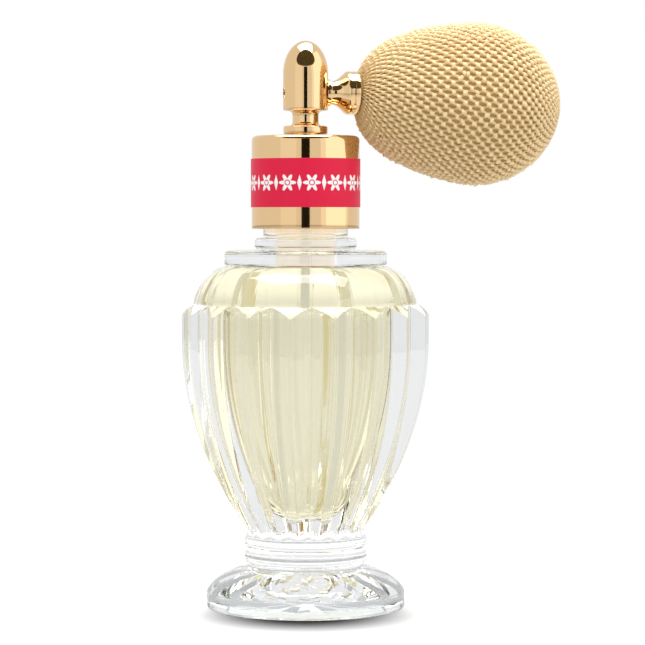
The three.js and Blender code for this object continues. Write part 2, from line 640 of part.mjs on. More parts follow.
/**
 * The bulb's outline from the narrow end to the far one, drawn in by a depth: two half ovals
 * that meet at the widest level. It keeps between two radii.
 */
function bulbOutline(depth, nearR, farR, steps) {
  const radius = NET_R - depth;
  const length = NET_LENGTH - 2 * depth;
  const near = -shareOut(nearR / radius, NET_FRONT);
  const far = shareOut(farR / radius, NET_BACK);
  const points = [];
  for (let i = 0; i <= steps; i += 1) {
    // crowded towards the two ends, where the outline turns fastest
    const w = near + (far - near) * (0.5 - 0.5 * Math.cos((Math.PI * i) / steps));
    const [first, second] = w < 0 ? NET_FRONT : NET_BACK;
    const r = radius * Math.max(0, 1 - Math.abs(w) ** first) ** second;
    const share = w < 0 ? NET_WIDEST * (1 + w) : NET_WIDEST + (1 - NET_WIDEST) * w;
    points.push([r, NET_START + depth + share * length]);
  }
  return points;
}

const bulbDepth = NET_THICK + CLEAR;
const tieHole = 2.0;

/** The rubber bulb, open at the neck and at the far end. */
function bulb() {
  const neckLow = -FUNNEL_LIP - 0.2;
  const outer = bulbOutline(bulbDepth, BULB_NECK_R, VALVE_BODY_R + FIT, 16);
  const inner = bulbOutline(bulbDepth + BULB_WALL, BULB_NECK_BORE_R, VALVE_BODY_R + FIT, 12).reverse();
  return mesh('bulb', onBulb(turned([
    [BULB_NECK_R, neckLow], ...outer, ...inner, [BULB_NECK_BORE_R, neckLow],
    [BULB_NECK_R, neckLow],
  ], MIDDLE_ROUND)), tanRubber);
}

/** The net over the bulb, tucked into the funnel's rim and drawn in round the far end. */
function bulbNet() {
  const neckLow = -FUNNEL_LIP + FIT;
  const neckIn = NET_NECK_R - 0.3;
  const outer = bulbOutline(0, NET_NECK_R, tieHole, 18);
  const inner = bulbOutline(NET_THICK, neckIn, tieHole, 14).reverse();
  return mesh('bulb_net', onBulb(turned([
    [NET_NECK_R, neckLow], ...outer, ...inner, [neckIn, neckLow], [NET_NECK_R, neckLow],
  ], MIDDLE_ROUND)), goldNet);
}

/** The wire that binds the bulb's neck onto the barb. */
const neckBinding = () => mesh('neck_binding', onBulb(
  torus(BULB_NECK_R + BINDING_R + 0.06, BINDING_R, BINDING_R),
), steel);

const valveFlangeR = VALVE_BODY_R + 1.4;
const bulbEnd = farEnd(bulbDepth, VALVE_BODY_R + FIT);
const innerEnd = farEnd(bulbDepth + BULB_WALL, valveFlangeR);

/** The drawstring that closes the net's far end. */
const netTie = () => mesh('net_tie', onBulb(
  torus(tieHole - TIE_R - 0.12, TIE_R, NET_START + NET_LENGTH - TIE_R),
), goldCord);

/** The intake valve: a flanged plug in the bulb's far end. */
function intakeBody() {
  const chamberLow = innerEnd - 1.4;
  const body = turned([
    [0, innerEnd - 1.9], [VALVE_BODY_R, innerEnd - 1.9], [valveFlangeR, innerEnd - 1.0],
    [valveFlangeR, innerEnd - FIT], [VALVE_BODY_R, innerEnd - FIT], [VALVE_BODY_R, bulbEnd],
    [0, bulbEnd],
  ], SMALL_ROUND);
  const chamber = rod(
    VALVE_CHAMBER_R, chamberLow, chamberLow + FLAP_THICK + FLAP_TRAVEL + CLEAR + FIT, SMALL_ROUND,
  );
  const bore = rod(BORE_R, 0, bulbEnd + 1, SMALL_ROUND);
  return mesh('intake_body', onBulb(cut(body, chamber, bore)), brass);
}

/** The flap that lets air in at the far end: at rest it lies against the outer side. */
function intakeFlap() {
  const high = innerEnd - 1.4 + FLAP_THICK + FLAP_TRAVEL + CLEAR;
  return mesh('intake_flap', onBulb(
    rod(VALVE_CHAMBER_R - 0.2, high - FLAP_THICK, high, SMALL_ROUND),
  ), blackRubber);
}

// ---------------------------------------------------------------- assembly

const atomiser = new THREE.Group();
atomiser.name = 'perfume_atomiser';

const container = new THREE.Group();
container.add(bottle(), perfume());

const closure = new THREE.Group();
closure.add(plug(), neckGasket());

const collar = new THREE.Group();
collar.add(collarShell(), collarInsert(), labelBand());

const sprayHead = new THREE.Group();
sprayHead.add(
  stem(), stemSeal(), stemRetainer(), head(), nozzle(), jet(), dipTube(),
  funnelWasher(), funnel(), barb(), outletFlap(),
);

const squeezeBulb = new THREE.Group();
squeezeBulb.add(bulb(), bulbNet(), neckBinding(), netTie(), intakeBody(), intakeFlap());

atomiser.add(container, closure, collar, sprayHead, squeezeBulb);

export default atomiser;
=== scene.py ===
"""Looks of the perfume atomiser: ribbed glass bottle, gilt collar and spray head, and a
rubber squeeze bulb in a knotted net. Metres, +Z up, the bulb along +X."""

import math
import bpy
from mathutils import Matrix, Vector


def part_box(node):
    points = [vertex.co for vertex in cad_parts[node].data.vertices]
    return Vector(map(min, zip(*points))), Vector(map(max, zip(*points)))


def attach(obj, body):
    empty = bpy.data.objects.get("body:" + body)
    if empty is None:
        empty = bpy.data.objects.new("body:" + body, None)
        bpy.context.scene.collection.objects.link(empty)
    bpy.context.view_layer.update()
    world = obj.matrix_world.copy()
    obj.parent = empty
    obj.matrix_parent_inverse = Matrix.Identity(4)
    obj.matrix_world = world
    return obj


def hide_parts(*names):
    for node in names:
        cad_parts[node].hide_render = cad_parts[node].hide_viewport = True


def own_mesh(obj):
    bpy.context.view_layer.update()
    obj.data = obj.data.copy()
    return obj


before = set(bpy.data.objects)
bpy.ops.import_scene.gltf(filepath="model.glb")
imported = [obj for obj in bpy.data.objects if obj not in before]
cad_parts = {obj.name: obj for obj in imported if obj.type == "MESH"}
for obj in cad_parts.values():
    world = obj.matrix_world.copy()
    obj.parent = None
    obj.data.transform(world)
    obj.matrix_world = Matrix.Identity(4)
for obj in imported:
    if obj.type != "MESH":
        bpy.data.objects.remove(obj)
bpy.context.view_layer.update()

from types import SimpleNamespace

import bmesh
import bpy
import numpy as np
from mathutils import Vector

bl_info = {
    "name": "Perfume Atomiser",
    "version": (1, 0, 0),
    "blender": (4, 5, 0),
    "location": "View3D > Sidebar > Atomiser",
    "description": "Makes the glass, gilt metal, label and net of a perfume atomiser",
    "category": "Add Mesh",
}

MM = 0.001
TURN = 2 * math.pi
RIBS = 18


# ---------------------------------------------------------------- properties


def length(name, text, default):
    """A size in metres."""
    return bpy.props.FloatProperty(
        name=name, description=text, default=default, min=0.0, unit="LENGTH", precision=5
    )


def share(name, text, default):
    """A number from 0 to 1."""
    return bpy.props.FloatProperty(
        name=name, description=text, default=default, min=0.0, max=1.0, subtype="FACTOR"
    )


def colour(name, text, default):
    """A linear colour."""
    return bpy.props.FloatVectorProperty(
        name=name, description=text, default=default, size=3, min=0.0, max=1.0, subtype="COLOR"
    )


def count(name, text, default, least):
    """A whole number of repeats or sides."""
    return bpy.props.IntProperty(name=name, description=text, default=default, min=least)


def angle(name, text, degrees):
    """A turn, kept in radians."""
    return bpy.props.FloatProperty(
        name=name, description=text, default=math.radians(degrees), subtype="ANGLE"
    )


class BottleSizes(bpy.types.PropertyGroup):
    """Sizes of the glass and of the perfume in it."""

    foot_radius: length("Foot radius", "Outer radius of the foot", 0.0212)
    foot_edge: length("Foot edge", "Height of the foot's upright rim", 0.0038)
    foot_height: length("Foot height", "Height where the foot's slope ends", 0.0088)
    ring_radius: length("Ring radius", "Radius of the two rings over the foot", 0.0132)
    groove_radius: length("Groove radius", "Radius between the rings", 0.0125)
    ring_pitch: length("Ring pitch", "Height of one ring", 0.0033)
    body_radius: length("Body radius", "Radius over the ribs' ridges", 0.0266)
    body_low_radius: length("Low radius", "Radius over the ridges at their lower ends", 0.0129)
    body_rise: length("Body rise", "Height from the ribs' lower ends to the widest level", 0.040)
    body_straight: length("Straight", "Upright stretch over the widest level", 0.0045)
    rib_depth: length("Rib depth", "Ridge to valley at the widest level", 0.0025)
    rib_top: length("Rib top", "Height over which the ribs' tops are sloped off", 0.0034)
    rib_turn: angle("Rib turn", "First ridge, round from the bulb", 10.1)
    rib_round: share("Rib round", "Share of each facet that is rounded at its edge", 0.10)
    dome_height: length("Dome height", "Height of the smooth dome over the ribs", 0.0093)
    step_radius: length("Step radius", "Radius of the first step", 0.01735)
    step_height: length("Step height", "Height of the first step", 0.0034)
    step_two_radius: length("Second step radius", "Radius of the second step", 0.0109)
    step_two_height: length("Second step height", "Height of the second step", 0.0027)
    neck_radius: length("Neck radius", "Outer radius of the neck", 0.00905)
    neck_bore: length("Neck bore", "Inner radius of the neck", 0.0065)
    neck_height: length("Neck height", "Height of the neck over the second step", 0.016)
    wall: length("Wall", "Glass between the ribs' valleys and the perfume", 0.0081)
    perfume_gap: length("Perfume gap", "Air between the perfume and the glass over it", 0.0012)


class MetalSizes(bpy.types.PropertyGroup):
    """Sizes of the collar, the label, the stem, the head and the funnel."""

    collar_radius: length("Collar radius", "Outer radius of the collar", 0.0115)
    collar_wall: length("Collar wall", "Thickness of the collar's metal", 0.0005)
    collar_round: length("Collar round", "Rounding of the collar's top edge", 0.0010)
    label_motifs: count("Label motifs", "Rosettes round the label", 14, 3)
    disc_radius: length("Disc radius", "Radius of the disc on the collar", 0.00475)
    waist_radius: length("Waist radius", "Radius of the stem's waist", 0.0028)
    shank_radius: length("Shank radius", "Radius of the stem in the plug", 0.0032)
    head_radius: length("Head radius", "Radius of the spray head", 0.0048)
    head_nose: length("Head nose", "Height of the head's rounded nose", 0.0070)
    head_straight: length("Head straight", "Height of the head's upright side", 0.0078)
    funnel_radius: length("Funnel radius", "Radius of the funnel at the head", 0.00245)
    funnel_rim_radius: length("Funnel rim radius", "Radius of the funnel's rim", 0.0046)
    funnel_rim_width: length("Funnel rim width", "Width of the funnel's rim band", 0.0012)
    sides: count("Sides", "Sides of a turned piece", 144, 24)


class NetSizes(bpy.types.PropertyGroup):
    """Sizes of the bulb and of the net on it."""

    droop: angle("Droop", "How far the bulb hangs below level", 4.5)
    start: length("Start", "Where the bulb swells, past the funnel's rim", 0.00015)
    run: length("Length", "Length of the bulb", 0.04485)
    radius: length("Radius", "Radius of the bulb over the net", 0.01735)
    widest: share("Widest", "Share of the length where the bulb is widest", 0.595)
    neck_radius: length("Neck radius", "Radius of the net in the funnel's rim", 0.00385)
    meshes: count("Meshes round", "Meshes of the net round the bulb", 50, 8)
    rows: count("Mesh rows", "Rows of meshes along the bulb", 48, 4)
    thread: length("Thread radius", "Radius of the net's thread", 0.00037)


class Finishes(bpy.types.PropertyGroup):
    """Colours of the finishes, and the painted shade colour of the net's thread."""

    gold: colour("Gold", "Polished gold plate", (0.88, 0.61, 0.33))
    brass: colour("Brass", "Plain turned brass", (0.62, 0.46, 0.20))
    glass: colour("Glass", "Clear glass", (0.960, 0.972, 0.985))
    perfume: colour("Perfume", "Pale yellow perfume", (0.95, 0.885, 0.63))
    crimson: colour("Crimson", "Label paper", (0.72, 0.012, 0.055))
    print_white: colour("Print", "The label's printed ornament", (0.88, 0.86, 0.85))
    thread: colour("Thread", "Silky net thread", (0.98, 0.76, 0.42))
    # Painted shade colour: the net thread's tone where it lies low between the meshes and near the funnel.
    thread_painted_shade: colour("Thread, deep", "Net thread between the meshes", (0.60, 0.38, 0.14))
    rubber: colour("Rubber", "Latex bulb", (0.55, 0.34, 0.14))


class StageSettings(bpy.types.PropertyGroup):
    """Camera, floor and lamps."""

    camera_turn: angle("Camera turn", "Camera, round the bottle from the front", -13.0)
    camera_distance: length("Camera distance", "From the bottle's axis", 0.575)
    camera_height: length("Camera height", "Over the floor", 0.084)
    aim_height: length("Aim height", "Height of the point looked at", 0.061)
    aim_side: length("Aim side", "How far the point looked at lies right of the axis", 0.0036)
    room: share("Room", "Brightness of the studio's white walls in reflections", 0.85)


# ---------------------------------------------------------------- mesh making


def add_mesh(name, points, quads, sharp=35.0):
    """A mesh object of points (n, 3) and four-cornered faces (m, 4), merged and smooth-shaded."""
    mesh = bpy.data.meshes.new(name)
    mesh.vertices.add(len(points))
    mesh.vertices.foreach_set("co", np.ascontiguousarray(points, np.float32).ravel())
    mesh.loops.add(4 * len(quads))
    mesh.loops.foreach_set("vertex_index", np.ascontiguousarray(quads, np.int32).ravel())
    mesh.polygons.add(len(quads))
    mesh.polygons.foreach_set("loop_start", np.arange(0, 4 * len(quads), 4, dtype=np.int32))
    mesh.update(calc_edges=True)
    shape = bmesh.new()
    shape.from_mesh(mesh)
    bmesh.ops.remove_doubles(shape, verts=shape.verts, dist=2e-8)
    bmesh.ops.dissolve_degenerate(shape, edges=shape.edges, dist=1e-8)
    shape.to_mesh(mesh)
    shape.free()
    mesh.validate()
    mesh.shade_smooth()
    mesh.set_sharp_from_angle(angle=math.radians(sharp))
    piece = bpy.data.objects.new(name, mesh)
    bpy.context.scene.collection.objects.link(piece)
    return piece


def grid_faces(rows, columns, close_rows=False):
    """Faces of a grid whose columns close on themselves, and whose rows may too."""
    spans = rows if close_rows else rows - 1
    i, j = np.meshgrid(np.arange(spans), np.arange(columns), indexing="ij")
    here, over = i * columns, ((i + 1) % rows) * columns
    side = (j + 1) % columns
    return np.stack([here + j, here + side, over + side, over + j], axis=-1).reshape(-1, 4)


def round_z(profile, sides, place=None):
    """Points of a profile of (radius, height) pairs turned about Z: radius times the sine and
    cosine of each side's angle, and the height. place, if given, maps (n, 3) to the frame."""
    profile = np.asarray(profile, float)
    turn = np.arange(sides) * TURN / sides
    r, z = profile[:, 0, None], profile[:, 1, None]
    points = np.stack([r * np.cos(turn), r * np.sin(turn), z + 0 * turn], axis=-1).reshape(-1, 3)
    return points if place is None else place(points)


def turned(name, profile, sides, place=None, closed=False, sharp=35.0):
    """A turned piece. An open profile runs from the axis at the bottom, outside, to the axis at
    the top; a closed one runs round its section the same way."""
    points = round_z(profile, sides, place)
    return add_mesh(name, points, grid_faces(len(profile), sides, closed), sharp)


def arc(cx, cz, rx, rz, start, end, steps):
    """Points of an ellipse's arc, as (radius, height) pairs, angles in degrees."""
    a = np.radians(np.linspace(start, end, steps))
    return np.stack([cx + rx * np.cos(a), cz + rz * np.sin(a)], axis=-1)


def bezier(points, steps):
    """Points of a Bezier curve of any degree, by the sum of Bernstein terms."""
    t = np.linspace(0, 1, steps)[:, None]
    p = np.asarray(points, float)
    n = len(p) - 1
    return sum(math.comb(n, k) * (1 - t) ** (n - k) * t**k * p[k] for k in range(n + 1))


def line(start, end, steps):
    """Points of a straight line between two (radius, height) pairs."""
    return np.linspace(start, end, steps)


def stack(*parts):
    """Several runs of points as one."""
    return np.concatenate([np.atleast_2d(np.asarray(p, float)) for p in parts])


def tube(centre, outward, radius, sides):
    """Points of closed tubes round closed centre lines (strands, steps, 3): the section is a
    circle spanned by the outward direction and its cross product with the line's own."""
    ahead = np.roll(centre, -1, axis=1) - np.roll(centre, 1, axis=1)
    ahead /= np.linalg.norm(ahead, axis=-1, keepdims=True)
    across = np.cross(ahead, outward)
    across /= np.linalg.norm(across, axis=-1, keepdims=True)
    up = np.cross(across, ahead)
    turn = np.arange(sides) * TURN / sides
    ring = (
        up[..., None, :] * np.cos(turn)[:, None] + across[..., None, :] * np.sin(turn)[:, None]
    )
    return centre[..., None, :] + radius[..., None, None] * ring


# ---------------------------------------------------------------- materials


def new_material(name):
    """An empty node material and its output."""
    material = bpy.data.materials.new(name)
    material.use_nodes = True
    tree = material.node_tree
    tree.nodes.clear()
    out = tree.nodes.new("ShaderNodeOutputMaterial")
    return material, tree, out


def node(tree, kind, inputs=None, **settings):
    """A node with its settings and its sockets' values or links."""
    made = tree.nodes.new(kind)
    for key, value in settings.items():
        setattr(made, key, value)
    for key, value in (inputs or {}).items():
        if isinstance(value, bpy.types.NodeSocket):
            tree.links.new(value, made.inputs[key])
        else:
            made.inputs[key].default_value = value
    return made


def calc(tree, operation, first, second=None, third=None):
    """The result of a Math node."""
    values = [v for v in (first, second, third) if v is not None]
    return node(tree, "ShaderNodeMath", dict(enumerate(values)), operation=operation).outputs[0]


def mix_colour(tree, amount, first, second):
    """Two colours mixed."""
    made = tree.nodes.new("ShaderNodeMix")
    made.data_type = "RGBA"
    for socket, value in ((0, amount), (6, first), (7, second)):
        if isinstance(value, bpy.types.NodeSocket):
            tree.links.new(value, made.inputs[socket])
        else:
            made.inputs[socket].default_value = value
    return made.outputs[2]


def rgba(value, gain=1.0):
    """A colour with full alpha."""
    return (*(min(1.0, gain * v) for v in value), 1.0)


def node_group(name, inputs, outputs):
    """A new shader node group with float or colour sockets."""
    tree = bpy.data.node_groups.new(name, "ShaderNodeTree")
    for label, default in inputs.items():
        kind = "NodeSocketFloat" if isinstance(default, float) else "NodeSocketColor"
        tree.interface.new_socket(label, in_out="INPUT", socket_type=kind).default_value = default
    for label, kind in outputs.items():
        tree.interface.new_socket(label, in_out="OUTPUT", socket_type=kind)
    return tree, tree.nodes.new("NodeGroupInput"), tree.nodes.new("NodeGroupOutput")


def grain_group():
    """Fine grain over a surface: a colour mottled between two, a roughness spread about its
    middle, and a height for bump."""
    tree, given, out = node_group(
        "fine_grain",
        {
            "Colour": (0.8, 0.8, 0.8, 1.0),
            "Deep Colour": (0.4, 0.4, 0.4, 1.0),
            "Scale": 400.0,
            "Amount": 0.3,
            "Roughness": 0.4,
            "Spread": 0.1,
        },
        {"Colour": "NodeSocketColor", "Roughness": "NodeSocketFloat", "Height": "NodeSocketFloat"},
    )
    where = node(tree, "ShaderNodeTexCoord").outputs["Object"]
    noise = node(
        tree, "ShaderNodeTexNoise",
        {"Vector": where, "Scale": given.outputs["Scale"], "Detail": 3.0, "Roughness": 0.6},
    ).outputs["Fac"]
    shade = calc(tree, "MULTIPLY", noise, given.outputs["Amount"])
    tree.links.new(
        mix_colour(tree, shade, given.outputs["Colour"], given.outputs["Deep Colour"]),
        out.inputs["Colour"],
    )
    middle = calc(tree, "SUBTRACT", noise, 0.5)
    spread = calc(tree, "MULTIPLY_ADD", middle, given.outputs["Spread"], given.outputs["Roughness"])
    tree.links.new(spread, out.inputs["Roughness"])
    tree.links.new(noise, out.inputs["Height"])
    return tree


def handling_group():
    """Marks of use on polished metal: faint smears that raise the roughness, and hairlines."""
    tree, given, out = node_group(
        "handling_marks",
        {
            "Colour": (0.8, 0.7, 0.4, 1.0),
            "Roughness": 0.05,
            "Smear": 0.08,
            "Hairlines": 0.05,
            "Scale": 120.0,
        },
        {"Colour": "NodeSocketColor", "Roughness": "NodeSocketFloat", "Height": "NodeSocketFloat"},
    )
    where = node(tree, "ShaderNodeTexCoord").outputs["Object"]
    smear = node(
        tree, "ShaderNodeTexNoise",
        {"Vector": where, "Scale": given.outputs["Scale"], "Detail": 2.0},
    ).outputs["Fac"]
    stretched = node(
        tree, "ShaderNodeMapping", {"Vector": where, "Scale": (400.0, 400.0, 9000.0)}
    ).outputs[0]
    lines = node(tree, "ShaderNodeTexNoise", {"Vector": stretched, "Scale": 1.0}).outputs["Fac"]
    sharp = calc(tree, "POWER", smear, 3.0)
    rough = calc(tree, "MULTIPLY_ADD", sharp, given.outputs["Smear"], given.outputs["Roughness"])
    tree.links.new(rough, out.inputs["Roughness"])
    tree.links.new(calc(tree, "MULTIPLY", lines, given.outputs["Hairlines"]), out.inputs["Height"])
    dull = calc(tree, "MULTIPLY", sharp, 0.12)
    tree.links.new(
        mix_colour(tree, dull, given.outputs["Colour"], (0.55, 0.42, 0.22, 1.0)),
        out.inputs["Colour"],
    )
    return tree


def group_node(tree, name, **values):
    """One of the shared groups in a material, with its own values."""
    group = bpy.data.node_groups.get(name) or {
        "fine_grain": grain_group,
        "handling_marks": handling_group,
    }[name]()
    made = tree.nodes.new("ShaderNodeGroup")
    made.node_tree = group
    for label, value in values.items():
        made.inputs[label.replace("_", " ").title()].default_value = value
    return made


def principled(tree, out, inputs):
    """The Principled shader into the output."""
    shader = node(tree, "ShaderNodeBsdfPrincipled", inputs)
    tree.links.new(shader.outputs[0], out.inputs["Surface"])


def bump(tree, height, strength, distance):
    """A Bump node's normal."""
    return node(
        tree, "ShaderNodeBump", {"Height": height, "Strength": strength, "Distance": distance}
    ).outputs[0]


def metal(name, tone, roughness, smear=0.06):
    """Polished or turned metal with marks of use."""
    material, tree, out = new_material(name)
    marks = group_node(
        tree, "handling_marks", colour=rgba(tone), roughness=roughness, smear=smear
    )
    principled(tree, out, {
        "Base Color": marks.outputs["Colour"],
        "Metallic": 1.0,
        "Roughness": marks.outputs["Roughness"],
        "Normal": bump(tree, marks.outputs["Height"], 0.02, 0.00002),
    })
    return material


def clear(name, tone, ior, shadow, warm=None):
    """Glass or liquid that lets the lamps' light through, with a slightly uneven tint. A ray that has been
    thrown about inside more than eight times ends on a painted glow: the surface gives off a pale light of
    the tint, as the bright room would. A colour of painted warm light, if given, tints the glass round the
    bore of the neck."""
    material, tree, out = new_material(name)
    grain = group_node(
        tree, "fine_grain", colour=rgba(tone), deep_colour=rgba(tone, 0.985), scale=60.0, amount=0.5
    ).outputs["Colour"]
    # Painted warm light: high up round the neck's bore the glass's colour turns warm, whatever light falls
    # there.
    if warm:
        where = node(tree, "ShaderNodeTexCoord").outputs["Object"]
        axes = node(tree, "ShaderNodeSeparateXYZ", {0: where})
        flat = node(tree, "ShaderNodeVectorMath", {0: where, 1: (1, 1, 0)}, operation="MULTIPLY")
        out_by = node(tree, "ShaderNodeVectorMath", {0: flat.outputs[0]}, operation="LENGTH")
        near = node(tree, "ShaderNodeMapRange", {
            "Value": out_by.outputs["Value"], "From Min": 0.0092, "From Max": 0.0104,
            "To Min": 1.0, "To Max": 0.0,
        }).outputs[0]
        high = node(tree, "ShaderNodeMapRange", {
            "Value": axes.outputs["Z"], "From Min": 0.069, "From Max": 0.073,
        }).outputs[0]
        grain = mix_colour(tree, calc(tree, "MULTIPLY", near, high), grain, rgba(warm))
    shader = node(tree, "ShaderNodeBsdfPrincipled", {
        "Base Color": grain, "Roughness": 0.0, "IOR": ior, "Transmission Weight": 1.0,
    })
    rays = node(tree, "ShaderNodeLightPath").outputs
    passing = node(tree, "ShaderNodeBsdfTransparent", {"Color": rgba(shadow)})
    # Painted glow: rays deeper than eight bounces meet an emission of the pale tint instead of the glass.
    trapped = calc(tree, "GREATER_THAN", rays["Ray Depth"], 8.5)
    inner_glow = node(tree, "ShaderNodeEmission", {"Color": rgba(tone, 0.8), "Strength": 1.0})
    let_out = node(tree, "ShaderNodeMixShader", {0: trapped})
    tree.links.new(shader.outputs[0], let_out.inputs[1])
    tree.links.new(inner_glow.outputs[0], let_out.inputs[2])
    mixed = node(tree, "ShaderNodeMixShader", {0: rays["Is Shadow Ray"]})
    tree.links.new(let_out.outputs[0], mixed.inputs[1])
    tree.links.new(passing.outputs[0], mixed.inputs[2])
    tree.links.new(mixed.outputs[0], out.inputs["Surface"])
    material.cycles.emission_sampling = "NONE"
    return material


def plain(name, tone, deep, roughness):
    """Moulded plastic, rubber or card with its grain."""
    material, tree, out = new_material(name)
    grain = group_node(
        tree, "fine_grain", colour=rgba(tone), deep_colour=rgba(deep), scale=500.0,
        amount=0.4, roughness=roughness, spread=0.12,
    )
    principled(tree, out, {
        "Base Color": grain.outputs["Colour"],
        "Roughness": grain.outputs["Roughness"],
        "Normal": bump(tree, grain.outputs["Height"], 0.3, 0.00002),
    })
    return material


def label_paper(name, finishes, metal_sizes, middle, radius):
    """Crimson satin paper with a printed row of rosettes and lozenges. Round the band the angle
    is cut into equal cells; a rosette fills the points nearer its centre than a radius that
    swings with six times the bearing, and a lozenge those whose two distances sum to less than
    one, each as a share of its half diagonals."""
    material, tree, out = new_material(name)
    where = node(tree, "ShaderNodeTexCoord").outputs["Object"]
    axes = node(tree, "ShaderNodeSeparateXYZ", {0: where})
    round_band = calc(tree, "ARCTAN2", axes.outputs["Y"], axes.outputs["X"])
    cells = calc(tree, "MULTIPLY_ADD", round_band, metal_sizes.label_motifs / TURN, 100.25)
    across = calc(tree, "SUBTRACT", calc(tree, "FRACT", cells), 0.5)
    width = TURN * radius / metal_sizes.label_motifs
    u = calc(tree, "MULTIPLY", across, width)
    v = calc(tree, "SUBTRACT", axes.outputs["Z"], middle)
    squares = calc(tree, "MULTIPLY_ADD", u, u, calc(tree, "MULTIPLY", v, v))
    far = calc(tree, "SQRT", squares)
    bearing = calc(tree, "ARCTAN2", v, u)
    swing = calc(tree, "COSINE", calc(tree, "MULTIPLY", bearing, 6.0))
    petal = calc(tree, "MULTIPLY_ADD", swing, 0.00052, 0.00138)
    flower = calc(tree, "LESS_THAN", far, petal)
    from_eye = calc(tree, "ABSOLUTE", calc(tree, "SUBTRACT", far, 0.00052))
    eye = calc(tree, "GREATER_THAN", from_eye, 0.00011)
    edge = calc(tree, "SUBTRACT", width / 2, calc(tree, "ABSOLUTE", u))
    lozenge = calc(tree, "ADD", calc(tree, "DIVIDE", edge, 0.00050),
                   calc(tree, "DIVIDE", calc(tree, "ABSOLUTE", v), 0.00165))
    diamond = calc(tree, "LESS_THAN", lozenge, 1.0)
    printed = calc(tree, "MAXIMUM", calc(tree, "MULTIPLY", flower, eye), diamond)
    grain = group_node(
        tree, "fine_grain", colour=rgba(finishes.crimson), deep_colour=rgba(finishes.crimson, 0.8),
        scale=900.0, amount=0.25, roughness=0.42, spread=0.1,
    )
    tone = mix_colour(tree, printed, grain.outputs["Colour"], rgba(finishes.print_white))
    principled(tree, out, {
        "Base Color": tone,
        "Roughness": grain.outputs["Roughness"],
        "Specular IOR Level": 0.2,
        "Normal": bump(tree, grain.outputs["Height"], 0.15, 0.00001),
    })
    return material


def thread_material(name, finishes):
    """Silky thread with painted light and shade: the tone falls from the thread's colour on the raised
    knots to a painted shade colour on the low legs and near the funnel, by the strand's own attribute of
    painted light, with fine plies wound along it."""
    material, tree, out = new_material(name)
    # The strand's share of painted light; where it is low the tone turns to the painted shade colour.
    painted_crown_light = node(tree, "ShaderNodeAttribute", attribute_name="painted_crown_light").outputs["Fac"]
    grain = group_node(
        tree, "fine_grain", colour=rgba(finishes.thread), deep_colour=rgba(finishes.thread, 0.72),
        scale=1400.0, amount=0.5, roughness=0.38, spread=0.2,
    )
    depth = calc(tree, "SUBTRACT", 1.0, painted_crown_light)
    tone = mix_colour(tree, depth, grain.outputs["Colour"], rgba(finishes.thread_painted_shade))
    principled(tree, out, {
        "Base Color": tone,
        "Roughness": grain.outputs["Roughness"],
        "Specular IOR Level": 0.6,
        "Sheen Weight": 0.3,
        "Sheen Roughness": 0.4,
        "Sheen Tint": (1.0, 0.9, 0.7, 1.0),
        "Normal": bump(tree, grain.outputs["Height"], 0.4, 0.00005),
    })
    return material


def put_on(piece, material):
    """Gives a piece one material in every slot it has, or in a new one."""
    slots = piece.data.materials
    if not slots:
        slots.append(material)
    for i in range(len(slots)):
        slots[i] = material


# ---------------------------------------------------------------- shapes


def heights(s):
    """Heights of the bottle that follow from its sizes."""
    ribs_low = s.foot_height + 0.6 * MM + 2 * s.ring_pitch + 1.1 * MM
    ribs_widest = ribs_low + s.body_rise
    ribs_high = ribs_widest + s.body_straight
    valley = s.body_radius - s.rib_depth
    dome_low = ribs_high + s.rib_top - 1 * MM
    step_low = dome_low + s.dome_height - 0.3 * MM
    step_high = step_low + s.step_height
    neck_low = step_high + s.step_two_height
    return SimpleNamespace(
        ribs_low=ribs_low, ribs_widest=ribs_widest, ribs_high=ribs_high, valley=valley,
        dome_low=dome_low, dome_reach=valley - s.step_radius + 2.2 * MM, step_low=step_low,
        step_high=step_high, neck_low=neck_low, neck_top=neck_low + s.neck_height,
        cavity_low=ribs_low + 4.6 * MM, cavity_radius=valley - s.wall,
        cavity_high=step_low - 0.4 * MM,
    )


def ridge(s, h, z):
    """Radius over the ridges at a height: a parabola up to the widest level, then constant."""
    down = np.maximum(0.0, (h.ribs_widest - z) / s.body_rise)
    return s.body_radius - (s.body_radius - s.body_low_radius) * down**2


def rib_columns(s, h):
    """The columns of the ribbed grid: each one's bearing, its radius as a share of the ridge's,
    and how far it lies from ridge (0) to valley (1). A facet is a straight line from ridge to
    valley, and a parabola rounds each of its ends over the rounded share."""
    w = s.rib_round
    half = np.array([0.0, 0.3 * w, 0.62 * w, w, 0.5, 1 - w, 1 - 0.62 * w, 1 - 0.3 * w])
    low = h.valley / s.body_radius
    step = math.pi / RIBS
    x = 1 + (low * math.cos(step) - 1) * half
    y = low * math.sin(step) * half
    drop = 1 - low * math.cos(step)
    rise = math.cos(step) - low
    top = drop * w / 2 * np.maximum(0, 1 - half / w) ** 2
    foot = rise * w / 2 * np.maximum(0, 1 - (1 - half) / w) ** 2
    x = x - top + foot * math.cos(step)
    y = y + foot * math.sin(step)
    bearing, radius = np.arctan2(y, x), np.hypot(x, y)
    bottom = low + rise * w / 2
    bearing = np.concatenate([bearing, [step], 2 * step - bearing[:0:-1]])
    radius = np.concatenate([radius, [bottom], radius[:0:-1]])
    part = np.concatenate([half, [1.0], half[:0:-1]])
    turns = np.arange(RIBS) * 2 * step + s.rib_turn
    return (turns[:, None] + bearing).ravel(), np.tile(radius, RIBS), np.tile(part, RIBS)


